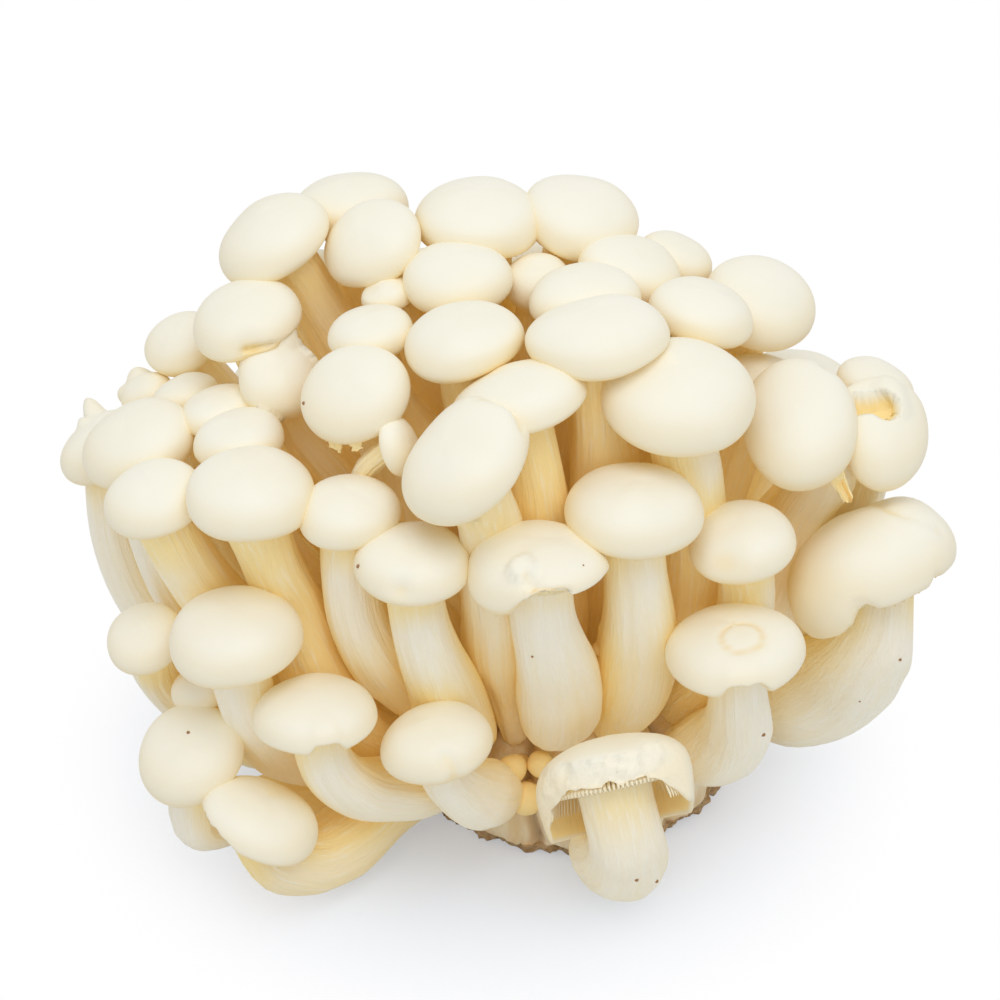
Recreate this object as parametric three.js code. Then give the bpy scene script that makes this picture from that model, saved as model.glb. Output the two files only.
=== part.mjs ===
// A bunch of white shimeji mushrooms, standing on the cut face of its own base.
// Millimetres, +Z up, and the front of the bunch is -Y.
// The origin is the centre of the cut face. Each mushroom is one piece of flesh,
// cap and stem together, that springs from the base and presses on its neighbours.

import * as THREE from "three";
import { mergeVertices } from "three/addons/utils/BufferGeometryUtils.js";

// Driving dimensions
const SIDES = 12; // faces around a mushroom
const BASE_SIDES = 30; // faces around the base
const CLEARANCE = 0.5; // kept between two pieces that press on each other
const FLOOR_CLEARANCE = 0.6; // kept under the stems that hang out over the surface
const BASE_RADIUS = 25; // the base is a short cylinder with a domed top
const BASE_SHOULDER = 8; // height where the dome begins
const BASE_DOME = 12; // height of the dome itself
const DOME_STEPS = 7; // rings from the shoulder to the top of the dome
const BASE_CUT_RADIUS = 23.5; // the flat cut face that the bunch stands on
const CUT_EDGE_HEIGHT = 2.5; // where the edge of the cut has widened to the full radius

// Every stem is followed at these stations, from its root on the base to its cap.
const STATIONS = 9;
const STEM_RINGS = 6;
const ROOT_STEP = 0.25; // a root is looked for along its stem's way in steps of this
const ROOT_THICKNESS = 0.55; // root radius over belly radius
const BELLY_AT = 0.3; // the thickest place, as a share of the stem's length
const NECK_FROM = 0.8; // above the belly, the share of the way where the neck's radius begins
const STRAIGHT = 0.05; // a stem that turns less than this, as a sine, has no plane of its own

// The cap's outline from its top to the neck, in cap radii: distance from the axis,
// then height above the middle of the cap. The neck's own radius ends it.
const CAP_OUTLINE = [
  [0, 0.56],
  [0.36, 0.52],
  [0.68, 0.39],
  [0.91, 0.17],
  [1.0, -0.12],
  [0.9, -0.38],
  [0.7, -0.45],
];
const NECK_HEIGHT = -0.36; // where the stem enters the cap, in cap radii
const SHOWN_NECK = 0.2; // length that runs straight below a cap in plain view, in cap radii
const HIDDEN_NECK = 0.6; // and below a hidden one
const CAP_HALF_HEIGHT = 0.54; // of the rounded body that stands for a cap when pieces press

// How the stems find their places
const PASSES = 120;
const PRESS = 0.92; // share of two radii at which stems stop pushing
const CAP_PUSH = 0.86; // a cap pushes stems from this share of its radius
const STEM_PUSH = 0.8; // and a stem keeps this share of its own radius off caps and base
const STIFFNESS = 0.35; // how soon a kink straightens
const THINNEST = 0.2; // a pressed stem keeps at least this share of its thickness
const SHOWN_YIELDS = 0.06; // a stem in plain view gives way this much, against 1 for a hidden one

// How pressed flesh goes flat
const HALVINGS = 12; // how finely the place of a pressed point is found
const FACE_PASSES = 16; // rounds in which the faces between the points give way
const FACE_GIVE = 0.93; // what is left of a tight corner's distance after each round
const FACE_PRESS = 0.6; // share of the clearance that the middle of an edge may use

// Where each cap sits, and how it is held. One row is one mushroom:
// cap x, y, z | cap radius | axis leans towards (0 is +X, 90 is +Y), by | neck, belly radius
// A stem that can be seen from outside also has the points it passes, from the root up.
const BUNCH = {
  crown: [
    { cap: [-32, 32, 77], size: 8.6, lean: [120, 15], neck: 4.4, belly: 5.6 },
    { cap: [-43, 22, 78], size: 7.9, lean: [180, 28], neck: 4.3, belly: 5.6 },
    { cap: [-28, 19, 79], size: 7.6, lean: [190, 25], neck: 4.0, belly: 5.6 },
    { cap: [-13, 24, 80], size: 9.2, lean: [90, 5], neck: 4.6, belly: 5.6 },
    { cap: [2, 26, 79], size: 8.9, lean: [20, 15], neck: 4.6, belly: 5.6 },
    { cap: [-16, 12, 78], size: 8.0, lean: [190, 6], neck: 4.0, belly: 5.2 },
    { cap: [-26, 12, 76], size: 4.8, lean: [180, 10], neck: 2.8, belly: 3.4 },
    { cap: [-5, 15, 76], size: 4.4, lean: [0, 0], neck: 2.6, belly: 3.2 },
    { cap: [9, 17, 77], size: 7.5, lean: [10, 15], neck: 3.8, belly: 5.2 },
    { cap: [15, 24, 74], size: 6.4, lean: [20, 18], neck: 3.6, belly: 4.4 },
    { cap: [2, 7, 79], size: 8.0, lean: [150, 8], neck: 4.0, belly: 5.2 },
    { cap: [-15, -2, 77], size: 8.8, lean: [200, 8], neck: 4.4, belly: 5.6 },
    { cap: [-29, 3, 75.5], size: 6.2, lean: [200, 8], neck: 3.4, belly: 4.2 },
    { cap: [4, -5, 80], size: 10.4, lean: [190, 8], neck: 4.8, belly: 5.2 },
    { cap: [19, 6, 76], size: 7.6, lean: [350, 12], neck: 3.9, belly: 5.4 },
    { cap: [28, 16, 71], size: 8.1, lean: [0, 16], neck: 4.4, belly: 5.6 },
  ],
  left: [
    {
      cap: [-47, 10, 72], size: 8.0, lean: [200, 15], neck: 4.0, belly: 4.8,
      via: [[-20, 7, 24], [-41, 13, 54]],
    },
    { cap: [-41, 3, 66], size: 5.2, lean: [300, 25], neck: 2.6, belly: 3.4 },
    { cap: [-57, 20, 59], size: 5.8, lean: [180, 25], neck: 3.2, belly: 4.6 },
    {
      cap: [-48, -6, 63], size: 6.6, lean: [210, 10], neck: 3.6, belly: 5.0,
      via: [[-25, -3, 20], [-43, -4, 42]],
    },
    { cap: [-52, 2, 62], size: 5.8, lean: [190, 15], neck: 3.2, belly: 4.4 },
    {
      cap: [-56, 11, 59], size: 5.6, lean: [180, 20], neck: 3.2, belly: 5.0,
      via: [[-28, 5, 15], [-50, 8, 32]],
    },
    {
      cap: [-62, 16, 55], size: 4.2, lean: [170, 30], neck: 2.6, belly: 4.6,
      via: [[-27, 11, 12], [-51, 16, 30]],
    },
    {
      cap: [-63, -1, 58], size: 8.5, lean: [190, 20], neck: 4.6, belly: 5.4,
      via: [[-30, -4, 14], [-50, -6, 23], [-60, -5, 38]],
    },
    {
      cap: [-68, 9, 50], size: 7.0, lean: [180, 25], neck: 4.2, belly: 5.2,
      via: [[-32, 3, 9], [-55, 3, 12], [-65, 4, 23], [-67, 6, 36]],
    },
    {
      cap: [-59, -14, 57], size: 7.8, lean: [200, 15], neck: 4.4, belly: 5.6,
      via: [[-28, -9, 15], [-44, -13, 28], [-53, -14, 42]],
    },
    {
      cap: [-46, -18, 61], size: 9.5, lean: [270, 5], neck: 4.9, belly: 5.8,
      via: [[-27, -14, 16], [-36, -15, 27], [-42, -16, 42]],
    },
  ],
  front: [
    { cap: [-31, -8, 72], size: 8.0, lean: [215, 24], neck: 4.0, belly: 4.8 },
    {
      cap: [-7, -12, 74], size: 10.0, lean: [200, 18], neck: 4.2, belly: 5.4,
      via: [[-3, -9, 25], [-3, -12, 50]],
    },
    {
      cap: [-15, -24, 70], size: 9.2, lean: [215, 38], neck: 4.6, belly: 5.4,
      via: [[-10, -17, 18], [-10, -19, 34], [-10, -20, 55]],
    },
    {
      cap: [16, -10, 73], size: 11.0, lean: [280, 18], neck: 4.9, belly: 5.6,
      via: [[12, -6, 24], [19, -8, 55]],
    },
    {
      cap: [10, -21, 61], size: 9.8, lean: [270, 12], neck: 4.6, belly: 6.2,
      via: [[7, -16, 18], [9, -18, 27], [11, -19, 39]],
    },
    {
      cap: [-4, -29, 56], size: 9.9, lean: [270, 10], neck: 4.5, belly: 6.3,
      via: [[-3, -21, 23], [-2, -22, 34]],
    },
    {
      cap: [-23, -27, 56], size: 8.3, lean: [270, 5], neck: 4.2, belly: 5.6,
      via: [[-15, -18, 19], [-19, -23, 28], [-20, -25, 37]],
    },
    {
      cap: [-32, -20, 60], size: 7.4, lean: [270, 6], neck: 4.3, belly: 5.4,
      via: [[-25, -16, 16], [-30, -19, 27], [-32, -19, 40]],
    },
    {
      cap: [25, -17, 52], size: 7.8, lean: [240, 15], neck: 4.0, belly: 5.4,
      via: [[19, -12, 18], [26, -15, 37]],
    },
    { cap: [-24, -14, 67], size: 3.4, lean: [330, 20], neck: 1.8, belly: 2.4 },
  ],
  right: [
    {
      cap: [34, -4, 64], size: 9.2, lean: [200, 12], neck: 4.6, belly: 5.6,
      via: [[22, -4, 18], [33, -4, 38]],
    },
    {
      cap: [46, 2, 56], size: 7.0, lean: [340, 25], neck: 4.0, belly: 5.0,
      via: [[26, 1, 16], [41, 1, 32]],
    },
    {
      cap: [43, -10, 43], size: 12.5, lean: [190, 44], neck: 5.0, belly: 7.2,
      via: [[30, -1, 11], [39, -3, 13], [44, -5, 21], [45, -8, 31]],
    },
    { cap: [28, 9, 62], size: 6.0, lean: [0, 10], neck: 3.2, belly: 4.2 },
    { cap: [45, 12, 58], size: 6.4, lean: [20, 20], neck: 3.6, belly: 4.6 },
  ],
  skirt: [
    {
      cap: [-48, -26, 42], size: 9.7, lean: [240, 12], neck: 4.4, belly: 5.0,
      via: [[-30, -14, 9], [-40, -20, 15], [-45, -23, 22]],
    },
    {
      cap: [-61, -17, 35], size: 6.6, lean: [210, 15], neck: 3.8, belly: 4.4,
      via: [[-36, -8, 8], [-52, -12, 10], [-59, -14, 18]],
    },
    {
      cap: [-36, -33, 33], size: 8.8, lean: [250, 12], neck: 4.1, belly: 4.9,
      via: [[-20, -23, 11], [-27, -27, 12], [-32, -30, 18]],
    },
    {
      cap: [-55, -30, 23], size: 7.6, lean: [220, 20], neck: 3.8, belly: 4.6,
      via: [[-38, -18, 6.5], [-51, -25, 6.5]],
    },
    {
      cap: [-44, -38, 18], size: 8.2, lean: [330, 25], neck: 4.6, belly: 5.8,
      via: [[-29, -26, 8], [-41, -36, 6.6]],
    },
    {
      cap: [-19, -34, 28], size: 8.1, lean: [230, 15], neck: 3.9, belly: 5.4,
      via: [[-12, -26, 13]],
    },
    {
      cap: [24, -27, 40], size: 9.9, lean: [250, 15], neck: 4.2, belly: 6.0,
      via: [[18, -17, 14], [24, -21, 21]],
    },
    {
      cap: [7, -39, 25], size: 11.2, lean: [100, 38], neck: 5.2, belly: 7.0,
      via: [[7, -33, 8], [8, -40, 11]],
    },
    { cap: [-53, -21, 29], size: 4.6, lean: [200, 20], neck: 2.6, belly: 3.4 },
  ],
  back: [
    { cap: [-40, 33, 62], size: 8.6, lean: [150, 25], neck: 4.6, belly: 6.2 },
    { cap: [-22, 42, 57], size: 9.2, lean: [100, 25], neck: 4.8, belly: 6.6 },
    { cap: [0, 42, 60], size: 9.4, lean: [85, 25], neck: 4.8, belly: 6.4 },
    { cap: [19, 37, 57], size: 9.0, lean: [60, 25], neck: 4.6, belly: 6.4 },
    { cap: [36, 27, 48], size: 9.0, lean: [35, 25], neck: 4.8, belly: 6.4 },
    { cap: [-42, 37, 43], size: 9.2, lean: [130, 28], neck: 4.8, belly: 6.6 },
    { cap: [-10, 48, 38], size: 9.8, lean: [95, 25], neck: 5.0, belly: 6.8 },
    { cap: [18, 43, 34], size: 9.4, lean: [65, 25], neck: 5.0, belly: 6.6 },
  ],
};

const SEAT = new THREE.Vector3(0, 0, 4); // stems fan out from this point inside the base
const radians = THREE.MathUtils.degToRad;
const mix = THREE.MathUtils.lerp;

// How far a point is outside a rounded body with these half axes, roughly; negative inside.
function roundDistance(across, along, a, b) {
  const k0 = Math.hypot(across / a, along / b);
  const k1 = Math.hypot(across / (a * a), along / (b * b));
  return k0 < 1e-6 ? -Math.min(a, b) : (k0 * (k0 - 1)) / k1;
}

function baseDistance(point) {
  const high = Math.max(point.z - BASE_SHOULDER, 0);
  return roundDistance(Math.hypot(point.x, point.y), high, BASE_RADIUS, BASE_DOME);
}

// The way straight out of the base at a point.
function outOfBase(point) {
  const high = Math.max(point.z - BASE_SHOULDER, 0);
  const steep = (BASE_RADIUS / BASE_DOME) ** 2;
  return new THREE.Vector3(point.x, point.y, high * steep).normalize();
}

function axisOf([heading, tilt]) {
  const across = Math.sin(radians(tilt));
  return new THREE.Vector3(
    across * Math.cos(radians(heading)),
    across * Math.sin(radians(heading)),
    Math.cos(radians(tilt)),
  );
}

function stemRadius(row, share) {
  const root = row.belly * ROOT_THICKNESS;
  if (share < BELLY_AT) {
    return mix(root, row.belly, Math.sin((share / BELLY_AT) * Math.PI * 0.5));
  }
  const rise = (share - BELLY_AT) / (1 - BELLY_AT);
  return mix(row.belly, row.neck, THREE.MathUtils.smoothstep(rise, 0, NECK_FROM));
}

// A mushroom as it would grow with room around it: its cap, and its stem's stations.
function sprout(name, row) {
  const centre = new THREE.Vector3(...row.cap);
  const axis = axisOf(row.lean);
  const neck = centre.clone().addScaledVector(axis, NECK_HEIGHT * row.size);
  const straight = row.via ? SHOWN_NECK : HIDDEN_NECK;
  const below = neck.clone().addScaledVector(axis, -straight * row.size);
  const passed = (row.via ?? []).map((point) => new THREE.Vector3(...point));
  const way = (passed[0] ?? below).clone().sub(SEAT).normalize();
  const root = SEAT.clone();
  while (baseDistance(root) < CLEARANCE) root.addScaledVector(way, ROOT_STEP);
  const guides = [root, ...passed, below, neck];
  const route = new THREE.CatmullRomCurve3(guides, false, "centripetal");
  const stations = route.getSpacedPoints(STATIONS - 1);
  const radii = stations.map((_, i) => stemRadius(row, i / (STATIONS - 1)));
  return { name, row, centre, axis, stations, radii, yields: row.via ? SHOWN_YIELDS : 1 };
}

// Neighbouring stems push each other aside until they only press. Caps stay put.
function pushApart(a, b, need, yieldA, yieldB) {
  const gap = new THREE.Vector3().subVectors(b, a);
  const lack = need - gap.length();
  const total = yieldA + yieldB;
  if (lack <= 0 || total === 0) return;
  gap.normalize();
  a.addScaledVector(gap, (-lack * yieldA) / total);
  b.addScaledVector(gap, (lack * yieldB) / total);
}

function settle(plants) {
  const yields = (plant, i) => (i < STATIONS - 2 ? plant.yields : 0);
  for (let pass = 0; pass < PASSES; pass++) {
    plants.forEach((a, first) => {
      for (const b of plants.slice(first + 1)) {
        a.stations.forEach((p, i) => {
          b.stations.forEach((q, j) => {
            pushApart(p, q, PRESS * (a.radii[i] + b.radii[j]), yields(a, i), yields(b, j));
          });
        });
      }
    });
    for (const plant of plants) {
      for (const other of plants) {
        if (other === plant) continue;
        plant.stations.forEach((p, i) => {
          const need = CAP_PUSH * other.row.size + STEM_PUSH * plant.radii[i];
          pushApart(p, other.centre, need, yields(plant, i), 0);
        });
      }
      straighten(plant);
    }
  }
}

// Takes the kinks out of a stem, keeps its root on the base and the rest off base and floor.
function straighten(plant) {
  plant.stations.forEach((station, i) => {
    if (i >= STATIONS - 2) return;
    if (i > 0) {
      const middle = plant.stations[i - 1].clone().lerp(plant.stations[i + 1], 0.5);
      station.lerp(middle, STIFFNESS * plant.yields);
    }
    const gap = i > 0 ? STEM_PUSH * plant.radii[i] : CLEARANCE;
    const lack = gap - baseDistance(station);
    if (i === 0 || lack > 0) station.addScaledVector(outOfBase(station), lack);
    station.z = Math.max(station.z, plant.radii[i] + FLOOR_CLEARANCE);
  });
}

// How far a point is outside a mushroom, roughly; negative inside.
function distanceTo(plant, point) {
  const local = point.clone().sub(plant.centre);
  const along = local.dot(plant.axis);
  const across = Math.sqrt(Math.max(local.lengthSq() - along * along, 0));
  let nearest = roundDistance(across, along, plant.row.size, CAP_HALF_HEIGHT * plant.row.size);
  for (let i = 0; i + 1 < STATIONS; i++) {
    const start = plant.stations[i];
    const run = plant.runs[i];
    const t = THREE.MathUtils.clamp(local.subVectors(point, start).dot(run) / run.lengthSq(), 0, 1);
    const away = local.addScaledVector(run, -t).length();
    nearest = Math.min(nearest, away - mix(plant.radii[i], plant.radii[i + 1], t));
  }
  return nearest;
}

// The turned form of a mushroom: distance from its axis and height, from the foot up.
// Heights below the neck run along the stem, and heights above it belong to the cap.
function outline(plant, length) {
  const points = [new THREE.Vector2(0, 0)];
  for (let i = 0; i < STEM_RINGS; i++) {
    const share = i / STEM_RINGS;
    points.push(new THREE.Vector2(stemRadius(plant.row, share), share * length));
  }
  const size = plant.row.size;
  points.push(new THREE.Vector2(plant.row.neck, length));
  for (const [across, high] of CAP_OUTLINE.toReversed()) {
    points.push(new THREE.Vector2(across * size, length + (high - NECK_HEIGHT) * size));
  }
  return points;
}

// A turned form as one closed surface, with no seam down its side.
function turned(points, sides) {
  const lathe = new THREE.LatheGeometry(points, sides);
  lathe.deleteAttribute("uv");
  lathe.deleteAttribute("normal");
  return mergeVertices(lathe, 1e-4);
}

// Bends the straight turned form so that its axis follows the stem and ends in the cap's axis.
function bend(geometry, plant, route, length) {
  const place = geometry.getAttribute("position");
  const middle = route.getTangentAt(0).cross(route.getTangentAt(1));
  const side = middle.length() > STRAIGHT ? middle.normalize() : new THREE.Vector3(1, 0, 0);
  const centres = [];
  for (let i = 0; i < place.count; i++) {
    const high = place.getY(i);
    const share = THREE.MathUtils.clamp(high / length, 0, 1);
    const tangent = share < 1 ? route.getTangentAt(share) : plant.axis.clone();
    const across = tangent.clone().cross(side).normalize();
    const beside = across.clone().cross(tangent).normalize();
    const centre = share < 1 ? route.getPointAt(share) : plant.stations[STATIONS - 1].clone();
    centre.addScaledVector(tangent, high - share * length);
    centres.push(centre);
    const point = centre.clone();
    point.addScaledVector(across, place.getX(i)).addScaledVector(beside, place.getZ(i));
    place.setXYZ(i, point.x, point.y, point.z);
  }
  return centres;
}

// Where two mushrooms press, both go flat: each point is drawn towards its own centreline
// until it is nearer to its own mushroom than to any other, and clear of the base and floor.
function crowd(geometry, centres, plant, neighbours) {
  const place = geometry.getAttribute("position");
  const trespass = (p) => {
    let worst = Math.max(CLEARANCE - baseDistance(p), FLOOR_CLEARANCE - p.z);
    const own = distanceTo(plant, p);
    for (const other of neighbours) {
      worst = Math.max(worst, own - distanceTo(other, p) + CLEARANCE);
    }
    return worst;
  };
  const draw = (i, share) => {
    const point = new THREE.Vector3().fromBufferAttribute(place, i);
    return centres[i].clone().lerp(point, share);
  };
  for (let i = 0; i < place.count; i++) {
    if (trespass(draw(i, 1)) <= 0) continue;
    let inside = THINNEST;
    let outside = 1;
    for (let step = 0; step < HALVINGS; step++) {
      const share = (inside + outside) / 2;
      if (trespass(draw(i, share)) <= 0) inside = share;
      else outside = share;
    }
    place.setXYZ(i, ...draw(i, inside));
  }
  relax(geometry, trespass, draw);
}

// The faces between those points must keep clear too: where one does not, its corners give way.
function relax(geometry, trespass, draw) {
  const place = geometry.getAttribute("position");
  const corners = geometry.index.array;
  for (let pass = 0; pass < FACE_PASSES; pass++) {
    const tight = new Set();
    for (let f = 0; f < corners.length; f += 3) {
      const [a, b, c] = [corners[f], corners[f + 1], corners[f + 2]].map((i) => draw(i, 1));
      const middles = [a.clone().lerp(b, 0.5), b.clone().lerp(c, 0.5), c.clone().lerp(a, 0.5)];
      if (middles.every((p) => trespass(p) < FACE_PRESS * CLEARANCE)) continue;
      for (let k = 0; k < 3; k++) tight.add(corners[f + k]);
    }
    if (tight.size === 0) return;
    for (const i of tight) place.setXYZ(i, ...draw(i, FACE_GIVE));
  }
}

function mushroom(plant, plants, material) {
  const route = new THREE.CatmullRomCurve3(plant.stations, false, "centripetal");
  const length = route.getLength();
  const geometry = turned(outline(plant, length), SIDES);
  const centres = bend(geometry, plant, route, length);
  const neighbours = plants.filter(
    (other) => other !== plant && other.reach.intersectsSphere(plant.reach),
  );
  crowd(geometry, centres, plant, neighbours);
  geometry.computeVertexNormals();
  const mesh = new THREE.Mesh(geometry, material);
  mesh.name = plant.name;
  return mesh;
}

// The base: roots of all the stems grown into one knob, sliced flat below.
function base(material) {
  const points = [
    new THREE.Vector2(0, 0),
    new THREE.Vector2(BASE_CUT_RADIUS, 0),
    new THREE.Vector2(BASE_RADIUS, CUT_EDGE_HEIGHT),
  ];
  for (let i = 0; i <= DOME_STEPS; i++) {
    const angle = (i / DOME_STEPS) * Math.PI * 0.5;
    const across = i === DOME_STEPS ? 0 : BASE_RADIUS * Math.cos(angle);
    points.push(new THREE.Vector2(across, BASE_SHOULDER + BASE_DOME * Math.sin(angle)));
  }
  const geometry = turned(points, BASE_SIDES);
  geometry.rotateX(Math.PI / 2);
  geometry.computeVertexNormals();
  const mesh = new THREE.Mesh(geometry, material);
  mesh.name = "base";
  return mesh;
}

function build() {
  const flesh = new THREE.MeshStandardMaterial({ color: "#f4efdd", roughness: 0.6, metalness: 0 });
  const butt = new THREE.MeshStandardMaterial({ color: "#cdb08a", roughness: 0.85, metalness: 0 });
  const plants = Object.entries(BUNCH).flatMap(([group, rows]) =>
    rows.map((row, i) => sprout(`${group}_mushroom_${String(i + 1).padStart(2, "0")}`, row)),
  );
  settle(plants);
  for (const plant of plants) {
    plant.runs = plant.stations.slice(1).map((p, i) => p.clone().sub(plant.stations[i]));
    const box = new THREE.Box3().setFromPoints([...plant.stations, plant.centre]);
    plant.reach = box.getBoundingSphere(new THREE.Sphere());
    plant.reach.radius += plant.row.size;
  }
  const group = new THREE.Group();
  group.add(base(butt));
  for (const plant of plants) group.add(mushroom(plant, plants, flesh));
  return group;
}

export default build();
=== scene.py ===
"""A bunch of white shimeji mushrooms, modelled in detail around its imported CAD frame.

Every mushroom of the frame is replaced by one finely modelled piece of flesh: a plain lathe whose
rows run from the foot up the stem, out over the gills, round the rim and up to the top of the cap.
"""

import math

import bmesh
import bpy
import numpy as np
from mathutils import Matrix, Vector, noise
from mathutils.bvhtree import BVHTree


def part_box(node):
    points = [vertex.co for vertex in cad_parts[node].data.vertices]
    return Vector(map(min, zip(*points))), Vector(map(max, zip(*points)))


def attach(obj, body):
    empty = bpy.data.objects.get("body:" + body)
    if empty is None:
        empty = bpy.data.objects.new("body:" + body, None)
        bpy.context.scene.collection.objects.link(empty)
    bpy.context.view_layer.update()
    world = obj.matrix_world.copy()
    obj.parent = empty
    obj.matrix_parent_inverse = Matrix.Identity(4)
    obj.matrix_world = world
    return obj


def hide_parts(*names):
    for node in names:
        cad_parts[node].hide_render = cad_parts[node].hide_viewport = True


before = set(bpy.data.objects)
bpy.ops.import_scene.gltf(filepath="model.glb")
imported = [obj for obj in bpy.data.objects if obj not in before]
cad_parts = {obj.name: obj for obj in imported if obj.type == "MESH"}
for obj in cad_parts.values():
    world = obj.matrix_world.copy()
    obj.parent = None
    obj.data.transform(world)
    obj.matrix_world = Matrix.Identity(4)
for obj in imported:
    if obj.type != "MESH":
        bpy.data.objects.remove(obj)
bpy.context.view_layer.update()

bl_info = {
    "name": "White shimeji bunch",
    "version": (1, 0, 0),
    "blender": (4, 5, 0),
    "location": "3D View > Sidebar > Shimeji",
    "description": "Builds a bunch of white shimeji mushrooms on its cut base",
    "category": "Object",
}

MM = 0.001
BODY = "root"
FLESH_SLOT = "flesh"
BASE_SLOT = "cut_base"
BASE_LOW, BASE_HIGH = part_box("base")
BASE_CENTRE = (BASE_LOW + BASE_HIGH) / 2

# The frame's mushrooms: rings of corners around the stem, then around the cap.
SIDES = 12
NECK_RING = 6
CAP_RINGS = ((0.7, -0.45), (0.9, -0.38), (1.0, -0.12), (0.91, 0.17), (0.68, 0.39), (0.36, 0.52))
TOP_HEIGHT = 0.56
NECK_HEIGHT = -0.36
WIDEST_RING = 9

# The finer grid of the pieces made here. Of the waves in a ring of the frame's corners, the shares
# kept smooth its outline, and of the dents in a cap of the frame, only a share is kept.
COLUMNS = 96
FOOT_ROWS = 5
STEM_ROWS = 26
GILL_ROWS = 10
CAP_ROWS = 24
ROWS = 1 + FOOT_ROWS + STEM_ROWS + GILL_ROWS + CAP_ROWS
WAVES_KEPT = (1.0, 0.95, 0.7, 0.35)
CAP_PRESSED = 0.4

# Growth is never even: waves around a cap, each with its strength in cap radii, and furrows down
# a stem, by how many of them there are around it.
SWELL_WAVES = ((1, 0.012), (2, 0.014), (3, 0.009), (5, 0.004))
FURROWS = (7, 11, 16, 23)

# A cap's outline from the stem out over the gills, round the rim and up to the top:
# distance from its axis and height above its middle, in cap radii. The first row is the stem's own.
WAIST = -0.12
DOME = 0.50
RIM = 0.30
GILL_OUTLINE = ((0.62, -0.25), (0.72, -0.27), (0.80, -0.34), (0.845, -0.425))
OPEN_GILLS = ((0.62, -0.02), (0.76, -0.07), (0.84, -0.24), (0.87, -0.44))
OPEN_OUTLINE = (
    (0.90, -0.62), (0.95, -0.63), (0.99, -0.44), (1.01, -0.16), (0.985, 0.03), (0.93, 0.17),
    (0.83, 0.30), (0.69, 0.405), (0.52, 0.48), (0.34, 0.53), (0.16, 0.555), (0.0, 0.56),
)
CAP_OUTLINE = (
    (0.875, -0.445), (0.925, -0.40), (0.975, -0.28), (1.0, -0.12), (0.985, 0.03), (0.93, 0.17),
    (0.83, 0.30), (0.69, 0.405), (0.52, 0.48), (0.34, 0.53), (0.16, 0.555), (0.0, 0.56),
)
BUD_GILLS = ((0.60, -0.60), (0.74, -0.57), (0.86, -0.48), (0.93, -0.36))
BUD_OUTLINE = (
    (0.965, -0.26), (0.99, -0.13), (1.0, 0.0), (0.985, 0.13), (0.94, 0.26), (0.85, 0.39),
    (0.72, 0.50), (0.56, 0.59), (0.38, 0.65), (0.19, 0.68), (0.0, 0.69),
)
OUTLINES = {
    "cap": (GILL_OUTLINE, CAP_OUTLINE),
    "open": (OPEN_GILLS, OPEN_OUTLINE),
    "bud": (BUD_GILLS, BUD_OUTLINE),
}

# The plates under the open cap, in cap radii: how far out they reach where the edge is whole and
# where it is broken away, their half thickness at the root and at the free edge, and their depth
# at the ends and how much more in the middle.
PLATES_OUT = 0.86
BROKEN_PLATES_OUT = 0.79
BROKEN_HEADING, BROKEN_HALF = -94, 66
PLATE_ROOT, PLATE_EDGE = 0.017, 0.008
PLATE_DROP, PLATE_BELLY = 0.05, 0.12
PLATE_STEPS = 8

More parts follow.
